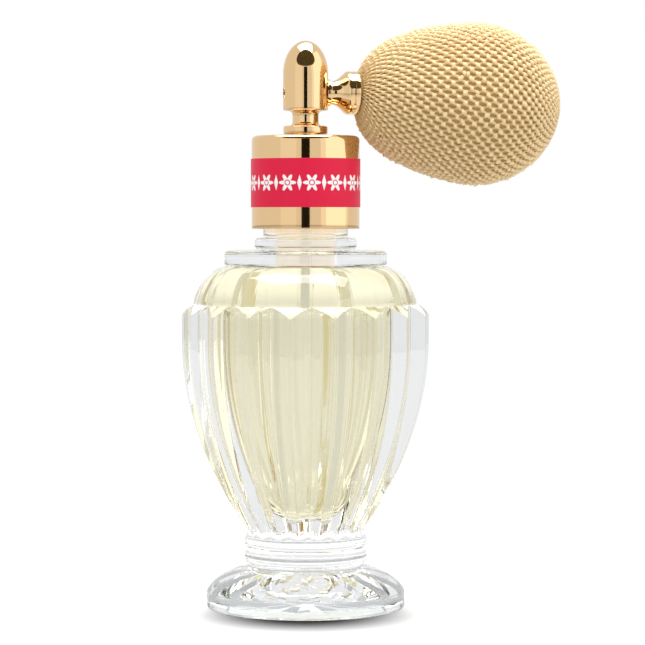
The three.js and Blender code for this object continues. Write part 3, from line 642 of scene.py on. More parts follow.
def cavity_profile(s, h, gap):
    """The hollow from its floor up to the neck, drawn in by a gap: rounded floor, wall that
    keeps its distance from the valleys, and an elliptical shoulder."""
    low = h.valley / s.body_radius

    def inside(z):
        return np.minimum(h.cavity_radius, ridge(s, h, z) * low - s.wall) - gap

    floor, corner = h.cavity_low + gap, 6.5 * MM
    foot = floor + corner
    at_foot = float(inside(foot))
    z = np.linspace(foot, h.ribs_widest, 22)[1:]
    upright = np.stack([inside(z), z], axis=-1)
    reach = h.cavity_radius - s.neck_bore
    return stack(
        [0, floor], line((at_foot * 0.25, floor), (at_foot - corner * 0.9, floor), 3)[:-1],
        arc(at_foot - corner * 0.9, foot, corner * 0.9, corner, -90, 0, 10),
        upright,
        line((h.cavity_radius - gap, h.ribs_widest + MM), (h.cavity_radius - gap, h.ribs_high), 3)[:-1],
        arc(s.neck_bore - gap, h.ribs_high, reach, h.cavity_high - gap - h.ribs_high, 0, 88, 26),
    )


def bottle_grid(s, h):
    """Every row of the glass from under the foot, up the outside, over the lip and down the
    inside to the cavity's floor, as radii and heights over the rib columns. Plain rows have one
    radius all round. Between the ribs' ends the radius is the ridge's times each column's share.
    Each rib's top runs out on a round slope whose radius falls with the square of the height, and
    its rows start where that slope meets the column. The neck's thread is a ridge on a helix."""
    bearing, part_radius, part = rib_columns(s, h)
    n = len(bearing)
    rows = []

    def ring(profile):
        rows.extend((np.full(n, r), np.full(n, z)) for r, z in profile)

    reach = s.foot_radius - 0.8 * MM - 3.4 * MM
    star_centre, star_rim, star_cut = 1.7, 1.25, 0.3
    ring([(0.0, 1.72 * MM)])
    for r in np.linspace(0.6 * MM, reach, 9):
        f = (r - 0.6 * MM) / (reach - 0.6 * MM)
        star = star_centre * (1 - f) + (star_rim + star_cut * part) * f
        rows.append((np.full(n, r), star * MM))
    ring(stack(
        [reach + 0.05 * MM, 0.15 * MM], [reach + 0.3 * MM, 0.0],
        line((reach + MM, 0), (s.foot_radius - 1.1 * MM, 0), 3),
        arc(s.foot_radius - 0.8 * MM, 0.8 * MM, 0.8 * MM, 0.8 * MM, -90, 0, 7),
        line((s.foot_radius, 1.6 * MM), (s.foot_radius, s.foot_edge - 0.3 * MM), 3),
        bezier([(s.foot_radius, s.foot_edge - 0.15 * MM),
                (s.foot_radius - 0.1 * MM, s.foot_edge + 0.2 * MM),
                (s.foot_radius - 1.6 * MM, s.foot_edge + 3.3 * MM),
                (s.groove_radius + 0.6 * MM, s.foot_height)], 16),
        [s.groove_radius + 0.1 * MM, s.foot_height + 0.25 * MM],
    ))
    for i in range(2):
        middle = s.foot_height + 0.6 * MM + (i + 0.5) * s.ring_pitch
        out, half = s.ring_radius - s.groove_radius, s.ring_pitch / 2 - 0.35 * MM
        ring(arc(s.groove_radius, middle, out, half, -90, 90, 11))
    seat = np.linspace(h.ribs_low - 0.4 * MM, h.ribs_low + 0.4 * MM, 5)
    for z in seat:
        seated = np.maximum(s.groove_radius - 0.1 * MM, ridge(s, h, z) * part_radius)
        rows.append((seated, np.full(n, z)))
    for z in np.linspace(h.ribs_low + 0.5 * MM, h.ribs_widest, 30):
        rows.append((ridge(s, h, z) * part_radius, np.full(n, z)))
    slope = s.rib_depth + 0.1 * MM
    meets = np.sqrt(np.clip((s.body_radius * (1 - part_radius) + 0.1 * MM) / slope, 0, 1))
    top = h.ribs_high + meets * s.rib_top
    for f in np.linspace(0, 1, 4)[1:]:
        rows.append((s.body_radius * part_radius, h.ribs_widest + f * (top - h.ribs_widest)))
    for f in np.linspace(0, 1, 8)[1:]:
        t = meets + (1 - meets) * f
        rows.append((s.body_radius + 0.1 * MM - slope * t**2, h.ribs_high + t * s.rib_top))
    start = math.degrees(math.asin(MM / s.dome_height)) + 2
    ring(stack(
        arc(h.valley - h.dome_reach, h.dome_low, h.dome_reach, s.dome_height, start, 75, 22),
        [s.step_radius - 0.2 * MM, h.step_low],
        arc(s.step_radius - 0.9 * MM, h.step_low + 0.9 * MM, 0.9 * MM, 0.9 * MM, -70, 0, 7),
        arc(s.step_radius - 0.9 * MM, h.step_high - 0.9 * MM, 0.9 * MM, 0.9 * MM, 0, 90, 9),
        line((s.step_radius - 2 * MM, h.step_high), (s.step_two_radius, h.step_high), 4),
        arc(s.step_two_radius - 0.1 * MM, h.step_high + 0.2 * MM, 0.2 * MM, 0.2 * MM, -90, -180, 4),
        line((s.step_two_radius - 0.3 * MM, h.step_high + 0.4 * MM),
             (s.step_two_radius - 0.25 * MM, h.neck_low - 2.0 * MM), 2),
        arc(s.step_two_radius - 0.5 * MM, h.neck_low - 1.6 * MM, 0.5 * MM, 0.5 * MM, -50, 0, 5),
        arc(s.step_two_radius - 0.7 * MM, h.neck_low - 0.7 * MM, 0.7 * MM, 0.7 * MM, 0, 90, 8),
        [s.neck_radius + 0.3 * MM, h.neck_low], [s.neck_radius + 0.08 * MM, h.neck_low + 0.08 * MM],
        [s.neck_radius, h.neck_low + 0.3 * MM],
    ))
    pitch, first, turns = 3.18 * MM, h.neck_low + 3.6 * MM, 1.5
    for z in np.linspace(h.neck_low + 1.6 * MM, h.neck_top - 0.8 * MM, 74):
        along = (z - first) / pitch
        wound = np.mod(bearing / TURN, 1.0)
        nearest = np.round(along - wound) + wound
        nearest = np.clip(nearest, wound, None)
        off = np.abs(along - nearest) * pitch
        height = np.clip((0.85 * MM - off) / (0.5 * MM), 0, 1)
        fade = np.clip(np.minimum(0.05 + 6 * nearest, 0.05 + 6 * (turns - nearest)), 0, 1)
        fade = np.where((nearest < 0) | (nearest > turns), 0, fade)
        rows.append((s.neck_radius + 0.8 * MM * height * fade, np.full(n, z)))
    ring(stack(
        arc(s.neck_radius - 0.4 * MM, h.neck_top - 0.4 * MM, 0.4 * MM, 0.4 * MM, 0, 90, 5),
        arc(s.neck_bore + 0.3 * MM, h.neck_top - 0.3 * MM, 0.3 * MM, 0.3 * MM, 90, 180, 4),
        line((s.neck_bore, h.neck_top - 2 * MM), (s.neck_bore, h.cavity_high + 1.2 * MM), 6),
        arc(s.neck_bore + 0.45 * MM, h.cavity_high + 0.45 * MM, 0.45 * MM, 0.45 * MM, 180, 262, 4),
        cavity_profile(s, h, 0.0)[:-2][::-1],
    ))
    radius = np.array([r for r, _ in rows])
    height = np.array([z for _, z in rows])
    points = np.stack([radius * np.cos(bearing), radius * np.sin(bearing), height], axis=-1)
    return points.reshape(-1, 3), grid_faces(len(rows), n)


def bulb_curve(n, depth, near, far, steps):
    """The bulb's outline past the funnel's rim as (radius, distance) pairs: two half ovals that
    meet at the widest level, drawn in by a depth, between two radii. Each oval's radius is one
    less the first power of the share of its length, all to the second power."""
    front, back = (1.55, 0.345), (1.9, 1 / 1.9)
    radius, run, start = n.radius - depth, n.run - 2 * depth, n.start + depth
    first = -((1 - (near / radius) ** (1 / front[1])) ** (1 / front[0]))
    last = (1 - (far / radius) ** (1 / back[1])) ** (1 / back[0])
    w = first + (last - first) * (0.5 - 0.5 * np.cos(np.linspace(0, math.pi, steps)))
    power, root = np.where(w < 0, front[0], back[0]), np.where(w < 0, front[1], back[1])
    r = radius * np.maximum(0, 1 - np.abs(w) ** power) ** root
    along = np.where(w < 0, n.widest * (1 + w), n.widest + (1 - n.widest) * w)
    return np.stack([r, start + along * run], axis=-1)


def bulb_frame(n):
    """Where the bulb starts and its own axes: along it, up and to the side."""
    rim = np.array([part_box("funnel")[1].x, 0.0, spray_level()])
    along = np.array([math.cos(n.droop), 0.0, -math.sin(n.droop)])
    up = np.array([math.sin(n.droop), 0.0, math.cos(n.droop)])
    return rim, along, up, np.array([0.0, -1.0, 0.0])


def spray_level():
    """Height of the spray axis: the middle of the funnel."""
    low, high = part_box("funnel")
    return (low.z + high.z) / 2


def on_bulb(n):
    """Maps points made about Z onto the drooping bulb's axis, from the funnel's rim."""
    rim, along, up, side = bulb_frame(n)
    return lambda p: rim + p[:, 2:3] * along + p[:, 0:1] * up - p[:, 1:2] * side


def outwards(points):
    """Turns points made about Z so that they lie about +X at the spray's height."""
    return np.stack([points[:, 2], points[:, 1], spray_level() - points[:, 0]], axis=-1)


def net_strands(n, first, last):
    """Centre lines of the net's strands, from one row of meshes to another. Round the bulb each strand
    swings between two rows, staying on each for a while: a cosine squared up by a tanh. Neighbours are
    half a mesh apart and meet on the row between them, where both are raised; the legs that run forwards
    lie a little over those that run back. Rows lie closer towards the far end, and the thread is thinner
    where the meshes are crowded at the funnel. Each point also carries a share of painted light for the
    thread's tone: high on the raised knots, lower on the legs, and cut down near the funnel as painted
    shade. Seeded noise shifts every knot a little."""
    outline = bulb_curve(n, 0.0, n.neck_radius, 2.2 * MM, 400)
    outline = stack([[n.neck_radius, -0.4 * MM]], outline)
    travel = np.concatenate([[0], np.cumsum(np.hypot(*np.diff(outline, axis=0).T))])
    shares = np.linspace(0, 1, n.rows + 1)
    gaps = 1.25 - 0.5 * (shares[1:] + shares[:-1]) / 2 * 1.0
    row_at = np.concatenate([[0], np.cumsum(gaps) / gaps.sum()]) * travel[-1]

    steps = 12
    t = np.arange(n.meshes * steps) / steps
    rng = np.random.default_rng(11)
    knots = rng.normal(0, 1, (n.rows + 2, n.meshes * 2, 3))
    centre, outward, radius, painted_crown_light = [], [], [], []
    rim, along, up, side = bulb_frame(n)
    for k in range(first, last):
        phase = t + 0.5 * (k % 2)
        wave = np.cos(TURN * phase)
        swing = 0.5 - 0.5 * np.tanh(1.8 * wave) / math.tanh(1.8)
        half = (np.floor(2 * phase + 0.5) % (2 * n.meshes)).astype(int)
        shift = knots[k + (swing > 0.5), half]
        pull = np.cos(TURN * phase) ** 2
        reach = row_at[k] + (row_at[k + 1] - row_at[k]) * (0.06 + 0.88 * swing)
        reach = reach + 0.13 * MM * shift[:, 0] * pull
        r = np.interp(reach, travel, outline[:, 0])
        z = np.interp(reach, travel, outline[:, 1])
        slope = np.gradient(outline[:, 0]) / np.maximum(1e-9, np.hypot(
            np.gradient(outline[:, 0]), np.gradient(outline[:, 1])))
        tilt = np.interp(reach, travel, slope)
        pitch = TURN * r / n.meshes
        thick = np.minimum(n.thread, 0.22 * pitch + 0.03 * MM)
        over = np.sin(TURN * phase)
        lift = (0.25 * over + (1.15 + 0.25 * shift[:, 2]) * pull - 1.25) * thick
        turn = TURN * (t + 0.07 * shift[:, 1] * pull) / n.meshes
        radial = np.cos(turn)[:, None] * up + np.sin(turn)[:, None] * side
        face = radial * np.sqrt(np.maximum(0, 1 - tilt**2))[:, None] - tilt[:, None] * along
        centre.append(rim + z[:, None] * along + r[:, None] * radial + lift[:, None] * face)
        outward.append(face)
        radius.append(thick)
        # Painted shade near the funnel: the thread's share of painted light falls to a fifth at the rim
        # and is full about 6 mm along the bulb.
        lit_past_funnel = np.clip(0.2 + reach / (7 * MM), 0, 1)
        # Painted light and shade for the thread's tone: high on the raised knots, low on the legs between
        # them.
        painted_crown_light.append(np.clip(0.25 + 0.15 * over + 0.75 * pull, 0, 1) * lit_past_funnel)
    return np.array(centre), np.array(outward), np.array(radius), np.array(painted_crown_light)


# ---------------------------------------------------------------- operators


class Maker(bpy.types.Operator):
    """Shared look-up of the sizes and finishes"""

    bl_options = {"REGISTER", "UNDO"}

    @staticmethod
    def given(context):
        return SimpleNamespace(
            bottle=context.scene.atomiser_bottle, metal=context.scene.atomiser_metal,
            net=context.scene.atomiser_net, finish=context.scene.atomiser_finish,
            stage=context.scene.atomiser_stage,
        )


class ATOMISER_OT_stage(Maker):
    """Make the floor, the lamps, the dark cards and the camera"""

    bl_idname = "atomiser.stage"
    bl_label = "Stage"

    def execute(self, context):
        st = self.given(context).stage
        turn = st.camera_turn
        back = np.array([math.sin(turn), -math.cos(turn), 0.0])
        right = np.array([math.cos(turn), math.sin(turn), 0.0])
        place = back * st.camera_distance + np.array([0, 0, st.camera_height])
        aim = right * st.aim_side + np.array([0, 0, st.aim_height])
        lens = bpy.data.cameras.new("camera")
        lens.lens, lens.sensor_width = 150.3, 36.0
        lens.clip_start, lens.clip_end = 0.01, 20.0
        camera = bpy.data.objects.new("camera", lens)
        context.scene.collection.objects.link(camera)
        self.aim_at(camera, place, aim)
        context.scene.camera = camera
        context.scene.view_settings.view_transform = "Standard"
        context.scene.view_settings.look = "None"
        self.white_room(context, st)
        self.floor(context, st)
        self.lamp(context, "key_softbox", 56, 24, 0.60, 0.62, 0.62, 0.34)
        self.lamp(context, "key_spill", 54, 22, 0.62, 0.92, 0.74, 0.22)
        self.lamp(context, "fill_softbox", -50, 14, 0.62, 0.40, 0.55, 0.12)
        self.lamp(context, "top_softbox", 0, 90, 0.50, 0.50, 0.50, 5.0)
        black, olive = (0.012, 0.010, 0.007), (0.085, 0.070, 0.038)
        self.card(context, "camera_card", -13, 4, 0.50, 0.155, 0.30, 4, black)
        self.card(context, "upper_card", -13, 48, 0.42, 0.80, 0.40, 48, olive)
        return {"FINISHED"}

    @staticmethod
    def aim_at(item, place, aim):
        """Stands an object at a place, looking at a point along its own -Z."""
        item.location = place
        way = Vector(aim) - Vector(place)
        item.rotation_mode = "QUATERNION"
        item.rotation_quaternion = way.to_track_quat("-Z", "Y")

    @staticmethod
    def around(degrees, elevation, distance):
        """A point about the head, by its bearing from the front and its elevation."""
        a, e = math.radians(degrees), math.radians(elevation)
        return np.array([
            math.sin(a) * math.cos(e), -math.cos(a) * math.cos(e), math.sin(e)
        ]) * distance + np.array([0, 0, 0.085])

    def lamp(self, context, name, degrees, elevation, distance, width, height, radiance):
        """A softbox of that even radiance: its power is radiance times pi times its area."""
        data = bpy.data.lights.new(name, "AREA")
        data.shape, data.size, data.size_y = "RECTANGLE", width, height
        data.energy = radiance * math.pi * width * height
        lamp = bpy.data.objects.new(name, data)
        context.scene.collection.objects.link(lamp)
        self.aim_at(lamp, self.around(degrees, elevation, distance), (0, 0, 0.085))
        lamp.visible_camera = False
        return lamp

    def card(self, context, name, degrees, elevation, distance, width, height, corners, tone):
        """A dark card that only reflections see, square or with many corners."""
        turn = np.arange(corners) * TURN / corners + math.pi / 4
        edge = np.stack([np.cos(turn), np.sin(turn), 0 * turn], axis=-1)
        edge *= 0.5 / np.abs(edge).max(axis=0).clip(1e-9)
        mesh = bpy.data.meshes.new(name)
        mesh.from_pydata((edge * [width, height, 0]).tolist(), [], [tuple(range(corners))])
        card = bpy.data.objects.new(name, mesh)
        context.scene.collection.objects.link(card)
        self.aim_at(card, self.around(degrees, elevation, distance), (0, 0, 0.085))
        material, tree, out = new_material(name)
        principled(tree, out, {"Base Color": rgba(tone), "Roughness": 1.0,
                               "Specular IOR Level": 0.0})
        put_on(card, material)
        card.visible_camera = card.visible_diffuse = card.visible_shadow = False
        card.visible_transmission = False
        return card

    @staticmethod
    def white_room(context, st):
        """White walls: bright behind the object, a little dimmer in reflections and through glass."""
        world = bpy.data.worlds.new("white_room")
        context.scene.world = world
        world.use_nodes = True
        tree = world.node_tree
        tree.nodes.clear()
        out = tree.nodes.new("ShaderNodeOutputWorld")
        rays = node(tree, "ShaderNodeLightPath").outputs
        through = calc(tree, "MULTIPLY_ADD", rays["Is Transmission Ray"], 0.03, st.room)
        seen = node(tree, "ShaderNodeBackground", {"Color": (1, 1, 1, 1), "Strength": 1.0})
        felt = node(tree, "ShaderNodeBackground", {"Color": (1, 1, 1, 1), "Strength": through})
        mixed = node(tree, "ShaderNodeMixShader", {0: rays["Is Camera Ray"]})
        tree.links.new(felt.outputs[0], mixed.inputs[1])
        tree.links.new(seen.outputs[0], mixed.inputs[2])
        tree.links.new(mixed.outputs[0], out.inputs["Surface"])

    @staticmethod
    def floor(context, st):
        """A pale floor that glows a little, so that it runs into the white of the room, with a painted
        soft shadow in front of the foot that darkens the floor's colour and glow; under the foot and where
        it is seen through glass the floor stays light."""
        angle_step = np.arange(64) * TURN / 64
        points = np.stack([3 * np.cos(angle_step), 3 * np.sin(angle_step), 0 * angle_step], axis=-1)
        mesh = bpy.data.meshes.new("floor")
        mesh.from_pydata(points.tolist(), [], [tuple(range(64))])
        floor = bpy.data.objects.new("floor", mesh)
        context.scene.collection.objects.link(floor)
        material, tree, out = new_material("floor")
        rays = node(tree, "ShaderNodeLightPath").outputs
        where = node(tree, "ShaderNodeTexCoord").outputs["Object"]
        t = st.camera_turn
        # Painted shadow: a soft dark ellipse centred 13 mm from the axis towards the camera.
        painted_shadow_frame = node(
            tree, "ShaderNodeMapping", {
                "Vector": where, "Location": (0.013 * math.sin(t), -0.013 * math.cos(t), 0.0),
                "Rotation": (0.0, 0.0, t), "Scale": (0.98, 1.0, 1.0),
            }, vector_type="TEXTURE",
        ).outputs[0]

        def fade(vector, start, end, low, high):
            away = node(tree, "ShaderNodeVectorMath", {0: vector}, operation="LENGTH")
            away = away.outputs["Value"]
            return node(tree, "ShaderNodeMapRange", {
                "Value": away, "From Min": start, "From Max": end, "To Min": low, "To Max": high,
            }, interpolation_type="SMOOTHSTEP").outputs[0]

        # The painted shadow stays clear of the floor under the foot and of the floor seen through glass,
        # and fades out 32 mm from its centre.
        under = fade(where, 0.0195, 0.0205, 1.0, 0.0)
        clear_of_painted_shadow = fade(painted_shadow_frame, 0.008, 0.032, 0.01, 1.0)
        seen_through = rays["Is Transmission Ray"]
        lit = calc(tree, "MAXIMUM", calc(tree, "MAXIMUM", under, clear_of_painted_shadow), seen_through)
        glow = calc(tree, "MULTIPLY_ADD", rays["Is Camera Ray"], 0.58, 0.05)
        glow = calc(tree, "MULTIPLY_ADD", seen_through, 0.30, glow)
        glow = calc(tree, "MULTIPLY", glow, lit)
        # Painted shadow colour: nearly black inside the painted shadow, pale grey outside it.
        tone = mix_colour(tree, lit, (0.02, 0.02, 0.022, 1), (0.55, 0.55, 0.55, 1))
        principled(tree, out, {
            "Base Color": tone, "Roughness": 0.9, "Specular IOR Level": 0.0,
            "Emission Color": (1, 1, 1, 1), "Emission Strength": glow,
        })
        put_on(floor, material)


class ATOMISER_OT_bottle(Maker):
    """Make the ribbed glass bottle"""

    bl_idname = "atomiser.bottle"
    bl_label = "Bottle"

    def execute(self, context):
        given = self.given(context)
        h = heights(given.bottle)
        points, faces = bottle_grid(given.bottle, h)
        glass = add_mesh("bottle_glass", points, faces, sharp=28)
        # The second colour is the painted warm light in the glass round the neck's bore.
        shadow, warm = (0.78, 0.80, 0.80), (1.0, 0.90, 0.76)
        put_on(glass, clear("clear_glass", given.finish.glass, 1.5, shadow, warm))
        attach(glass, "bottle_body")
        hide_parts("bottle")
        return {"FINISHED"}


class ATOMISER_OT_perfume(Maker):
    """Fill the bottle with perfume"""

    bl_idname = "atomiser.perfume"
    bl_label = "Perfume"

    def execute(self, context):
        given = self.given(context)
        s, h = given.bottle, heights(given.bottle)
        outline = cavity_profile(s, h, -0.05 * MM)
        level = h.cavity_high - s.perfume_gap
        below = outline[outline[:, 1] < level + 0.35 * MM]
        edge = below[-1, 0]
        creep = 0.35 * MM
        away = (0.15, 0.4, 0.8, 1.4, 2.2, 4)
        meniscus = [(edge - d * MM, level + creep * math.exp(-d / 0.5)) for d in away]
        liquid = turned("perfume_liquid", stack(below, meniscus, [0, level]), 192)
        put_on(liquid, clear("pale_perfume", given.finish.perfume, 1.36, (0.92, 0.88, 0.70)))
        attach(liquid, "bottle_body")
        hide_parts("perfume")
        return {"FINISHED"}


class ATOMISER_OT_collar(Maker):
    """Make the gilt collar and its label"""

    bl_idname = "atomiser.collar"
    bl_label = "Collar and label"

    def execute(self, context):
        given = self.given(context)
        m = given.metal
        low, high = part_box("collar_shell")
        label_low, label_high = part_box("label_band")
        z0, z1, r, w, e = low.z, high.z, m.collar_radius, m.collar_wall, m.collar_round
        hole = m.shank_radius + 0.4 * MM
        profile = stack(
            line((r - w, z0 + 0.15 * MM), (r - w + 0.1 * MM, z0), 2),
            arc(r - 0.25 * MM, z0 + 0.25 * MM, 0.25 * MM, 0.25 * MM, -90, 0, 6),
            line((r, z0 + 1 * MM), (r, z1 - e - 0.5 * MM), 4),
            arc(r - e, z1 - e, e, e, 0, 90, 12),
            line((r - e - 0.5 * MM, z1), (hole + 0.2 * MM, z1), 3),
            arc(hole + 0.1 * MM, z1 - 0.1 * MM, 0.1 * MM, 0.1 * MM, 90, 180, 3),
            [hole, z1 - w], line((hole + 1 * MM, z1 - w), (r - e, z1 - w), 2),
            arc(r - e, z1 - e, e - w, e - w, 90, 0, 5)[1:],
        )
        collar = turned("gilt_collar", profile, m.sides, closed=True)
        put_on(collar, metal("gold_plate", given.finish.gold, 0.055))
        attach(collar, "collar")
        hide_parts("collar_shell")

        outer = label_high.x
        inner = outer - 0.16 * MM
        y0, y1 = label_low.z, label_high.z
        band = stack(
            [inner, y0], line((outer - 0.02 * MM, y0), (outer, y0 + 0.02 * MM), 2),
            line((outer, y0 + 0.3 * MM), (outer, y1 - 0.3 * MM), 4),
            line((outer, y1 - 0.02 * MM), (outer - 0.02 * MM, y1), 2), [inner, y1],
        )
        label = turned("crimson_label", band, m.sides, closed=True)
        put_on(label, label_paper("label_paper", given.finish, m, (y0 + y1) / 2, outer))
        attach(label, "collar")
        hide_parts("label_band")
        return {"FINISHED"}


class ATOMISER_OT_spray_head(Maker):
    """Make the stem, the spray head and the nozzle"""

    bl_idname = "atomiser.spray_head"
    bl_label = "Spray head"

    def execute(self, context):
        given = self.given(context)
        m = given.metal
        gold = bpy.data.materials["gold_plate"]
        stem_low, stem_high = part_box("stem")
        low, base = stem_low.z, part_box("head")[0].z
        disc_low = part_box("collar_shell")[1].z + 0.3 * MM
        waist_low = disc_low + 1.8 * MM
        bore, shank, disc, waist = 1.75 * MM, m.shank_radius, m.disc_radius, m.waist_radius
        flare = 0.9 * MM
        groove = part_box("stem_retainer")
        seal = (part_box("stem_seal")[0].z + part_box("stem_seal")[1].z) / 2
        profile = stack(
            [bore, low], [shank - 0.3 * MM, low], [shank, low + 0.3 * MM],
            [shank, groove[0].z - 0.05 * MM], [shank - 0.6 * MM, groove[0].z - 0.05 * MM],
            [shank - 0.6 * MM, groove[1].z + 0.05 * MM], [shank, groove[1].z + 0.05 * MM],
            [shank, seal - 0.6 * MM], [shank - 0.95 * MM, seal - 0.6 * MM],
            [shank - 0.95 * MM, seal + 0.6 * MM], [shank, seal + 0.6 * MM],
            [shank, disc_low], [disc - 0.5 * MM, disc_low],
            arc(disc - 0.4 * MM, disc_low + 0.4 * MM, 0.4 * MM, 0.4 * MM, -90, 0, 7),
            arc(disc - 0.4 * MM, waist_low - 0.4 * MM, 0.4 * MM, 0.4 * MM, 0, 90, 7),
            arc(waist + flare, waist_low + flare, flare, flare, 270, 180, 9),
            arc(waist + flare, base - flare - 0.1 * MM, flare, flare, 180, 90, 9),
            [2.5 * MM, base - 0.1 * MM], [2.5 * MM, stem_high.z], [bore, stem_high.z],
        )
        stem = turned("gilt_stem", profile, m.sides, closed=True)
        put_on(stem, gold)
        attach(stem, "spray_head")
        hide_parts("stem")

        r = m.head_radius
        nose_at = base + m.head_straight
        body = stack(
            [0, base], line((1.5 * MM, base), (r - 0.45 * MM, base), 3),
            arc(r - 0.3 * MM, base + 0.3 * MM, 0.3 * MM, 0.3 * MM, -90, 0, 7),
            line((r, base + 0.8 * MM), (r, nose_at - 0.5 * MM), 8),
            arc(0, nose_at, r, m.head_nose, 0, 90, 40),
        )
        head = turned("gilt_head", body, m.sides)
        self.recess(context, head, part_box("nozzle"))
        put_on(head, gold)
        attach(head, "spray_head")
        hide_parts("head")
        return {"FINISHED"}


    @staticmethod
    def recess(context, head, nozzle):
        """Cuts a round recess into the head's side, down to the nozzle's face."""
        low, high = nozzle
        wide = (high.z - low.z) / 2 - 0.2 * MM
        deep = low.x + 0.1 * MM
        run = np.array([(0, -8 * MM), (wide, -8 * MM), (wide, deep), (0, deep)])
        cutter = turned("recess", run, 48, outwards)
        cut = head.modifiers.new("recess", "BOOLEAN")
        cut.object, cut.operation, cut.solver = cutter, "DIFFERENCE", "EXACT"
        context.view_layer.update()
        graph = context.evaluated_depsgraph_get()
        ready = bpy.data.meshes.new_from_object(head.evaluated_get(graph))
        head.modifiers.clear()
        head.data = ready
        head.data.shade_smooth()
        head.data.set_sharp_from_angle(angle=math.radians(35))
        bpy.data.objects.remove(cutter)


class ATOMISER_OT_funnel(Maker):
    """Make the funnel that carries the bulb, and its washer"""

    bl_idname = "atomiser.funnel"
    bl_label = "Funnel"

    def execute(self, context):
        given = self.given(context)
        m = given.metal
        gold = bpy.data.materials["gold_plate"]
        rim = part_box("funnel")[1].x
        r, rr, w = m.funnel_radius, m.funnel_rim_radius, m.funnel_rim_width
        seat = m.head_radius - 0.4 * MM
        cup, bore = rim - 1.6 * MM, 0.8 * MM
        mouth, bead = rr - 0.45 * MM, 0.12 * MM
        profile = stack(
            [bore, seat], [r, seat],
            bezier([(r, m.head_radius + 0.55 * MM), (r + 0.05 * MM, rim - 4.3 * MM),
                    (rr - 1.2 * MM, rim - 3.6 * MM), (rr - 0.18 * MM, rim - 2.45 * MM)], 26),
            bezier([(rr - 0.12 * MM, rim - 2.35 * MM), (rr, rim - 2.2 * MM), (rr, rim - 1.9 * MM)], 6),
            line((rr, rim - 1.7 * MM), (rr, rim - w - 0.2 * MM), 3),
            [rr - 0.14 * MM, rim - w - 0.04 * MM], [rr - 0.14 * MM, rim - w + 0.04 * MM],
            arc(rr - bead, rim - w + bead + 0.1 * MM, bead, bead, -60, 0, 5),
            arc(rr - bead, rim - bead, bead, bead, 0, 90, 6),
            arc(mouth + 0.1 * MM, rim - 0.1 * MM, 0.1 * MM, 0.1 * MM, 90, 180, 3),
            [mouth, rim - 0.6 * MM], [2.1 * MM, cup], [bore, cup],
        )
        funnel = turned("gilt_funnel", profile, m.sides, outwards, closed=True)
        put_on(funnel, gold)
        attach(funnel, "spray_head")
        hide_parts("funnel")

        near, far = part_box("funnel_washer")
        edge = far.z - spray_level()
        ring = stack(
            [bore * 2.5, near.x - 0.25 * MM], [edge - 0.1 * MM, near.x - 0.25 * MM],
            arc(edge - 0.12 * MM, near.x + 0.1 * MM, 0.12 * MM, 0.12 * MM, -60, 0, 3),
            arc(edge - 0.12 * MM, far.x - 0.12 * MM, 0.12 * MM, 0.12 * MM, 0, 90, 4),
            [bore * 2.5, far.x],
        )
        washer = turned("gilt_washer", ring, m.sides, outwards, closed=True)
        put_on(washer, gold)
        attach(washer, "spray_head")
        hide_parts("funnel_washer")
        return {"FINISHED"}


class ATOMISER_OT_bulb(Maker):
    """Make the rubber bulb and the knotted net over it"""

    bl_idname = "atomiser.bulb"
    bl_label = "Bulb and net"

    def execute(self, context):
        given = self.given(context)
        n = given.net
        rubber = plain("latex", given.finish.rubber, (0.30, 0.16, 0.05), 0.55)
        cover = plain("net_cover", (0.52, 0.34, 0.14), (0.32, 0.19, 0.07), 0.8)
        silk = thread_material("net_thread", given.finish)
        place = on_bulb(n)

        outer = bulb_curve(n, 0.85 * MM, 3.0 * MM, 2.5 * MM, 48)
        inner = bulb_curve(n, 2.35 * MM, 2.45 * MM, 2.5 * MM, 32)[::-1]
        skin = stack([3.0 * MM, -0.8 * MM], outer, inner, [2.45 * MM, -0.8 * MM])
        bulb = turned("latex_bulb", skin, 64, place, closed=True)
        put_on(bulb, rubber)
        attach(bulb, "spray_head")
        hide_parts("bulb")

        outside = bulb_curve(n, 0.52 * MM, n.neck_radius - 0.12 * MM, 2.0 * MM, 96)
        inside = bulb_curve(n, 0.75 * MM, n.neck_radius - 0.3 * MM, 2.0 * MM, 64)[::-1]
        cloth = stack([n.neck_radius - 0.12 * MM, -0.4 * MM], outside, inside,
                      [n.neck_radius - 0.3 * MM, -0.4 * MM])
        ground = turned("net_cover", cloth, 128, place, closed=True)
        put_on(ground, cover)
        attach(ground, "spray_head")
        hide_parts("bulb_net")

        made = []
        middle = n.rows // 2
        for name, first, last in (("net_thread_near", 0, middle), ("net_thread_far", middle, n.rows)):
            centre, outward, radius, painted_crown_light = net_strands(n, first, last)
            sides = 6
            points = tube(centre, outward, radius, sides)
            strands, steps = centre.shape[:2]
            one = grid_faces(steps, sides, close_rows=True)
            faces = (np.arange(strands)[:, None, None] * steps * sides + one).reshape(-1, 4)
            thread = add_mesh(name, points.reshape(-1, 3), faces, sharp=180)
            # Each point carries its strand's share of painted light.
            mark = thread.data.attributes.new("painted_crown_light", "FLOAT", "POINT")
            if len(thread.data.vertices) == strands * steps * sides:
                mark.data.foreach_set("value", np.repeat(painted_crown_light.ravel(), sides).astype(np.float32))
            put_on(thread, silk)
            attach(thread, "spray_head")
            made.append(thread)
        for piece in (bulb, ground, *made):
            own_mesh(piece)
        return {"FINISHED"}


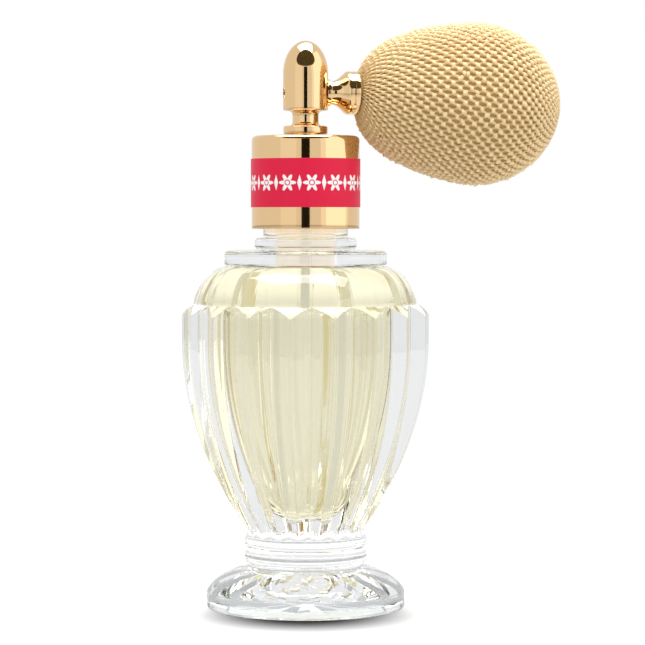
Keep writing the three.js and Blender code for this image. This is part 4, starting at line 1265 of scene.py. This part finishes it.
class ATOMISER_OT_fittings(Maker):
    """Give the fittings inside the bottle and the bulb their finishes"""

    bl_idname = "atomiser.fittings"
    bl_label = "Fittings"

    def execute(self, context):
        finish = self.given(context).finish
        brass = metal("turned_brass", finish.brass, 0.22)
        steel = metal("steel_wire", (0.55, 0.55, 0.56), 0.25)
        ivory = plain("ivory_plastic", (0.80, 0.70, 0.52), (0.68, 0.57, 0.40), 0.42)
        black = plain("black_rubber", (0.022, 0.022, 0.025), (0.010, 0.010, 0.011), 0.65)
        tube_look = clear("tube_plastic", (0.975, 0.98, 0.975), 1.05, (0.96, 0.96, 0.96))
        # The tie cord has no painted light attribute, so it shows the thread's painted shade colour all
        # over.
        cord = thread_material("tie_cord", finish)
        looks = {
            "plug": ivory, "neck_gasket": black, "collar_insert": ivory, "stem_seal": black,
            "stem_retainer": steel, "nozzle": brass, "jet": brass, "dip_tube": tube_look,
            "barb": brass, "outlet_flap": black, "neck_binding": steel, "net_tie": cord,
            "intake_body": brass, "intake_flap": black,
        }
        for name, look in looks.items():
            put_on(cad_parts[name], look)
        return {"FINISHED"}


class ATOMISER_PT_panel(bpy.types.Panel):
    """The atomiser's steps and sizes"""

    bl_label = "Perfume Atomiser"
    bl_idname = "ATOMISER_PT_panel"
    bl_space_type = "VIEW_3D"
    bl_region_type = "UI"
    bl_category = "Atomiser"

    def draw(self, context):
        for step in STEPS:
            self.layout.operator(step.bl_idname)
        for name in SETTINGS:
            group = getattr(context.scene, name)
            box = self.layout.box()
            for key in group.__annotations__:
                box.prop(group, key)


STEPS = (
    ATOMISER_OT_stage,
    ATOMISER_OT_bottle,
    ATOMISER_OT_perfume,
    ATOMISER_OT_collar,
    ATOMISER_OT_spray_head,
    ATOMISER_OT_funnel,
    ATOMISER_OT_bulb,
    ATOMISER_OT_fittings,
)
SETTINGS = {
    "atomiser_bottle": BottleSizes,
    "atomiser_metal": MetalSizes,
    "atomiser_net": NetSizes,
    "atomiser_finish": Finishes,
    "atomiser_stage": StageSettings,
}


def register():
    """Registers the settings, the steps and the panel."""
    for group in (*SETTINGS.values(), *STEPS, ATOMISER_PT_panel):
        bpy.utils.register_class(group)
    for name, group in SETTINGS.items():
        setattr(bpy.types.Scene, name, bpy.props.PointerProperty(type=group))


def unregister():
    """Takes everything back out."""
    for name in SETTINGS:
        delattr(bpy.types.Scene, name)
    for group in reversed((*SETTINGS.values(), *STEPS, ATOMISER_PT_panel)):
        bpy.utils.unregister_class(group)


def main():
    """Makes the whole atomiser on its stage."""
    register()
    for step in STEPS:
        group, name = step.bl_idname.split(".")
        getattr(getattr(bpy.ops, group), name)()


if __name__ == "__main__":
    main()
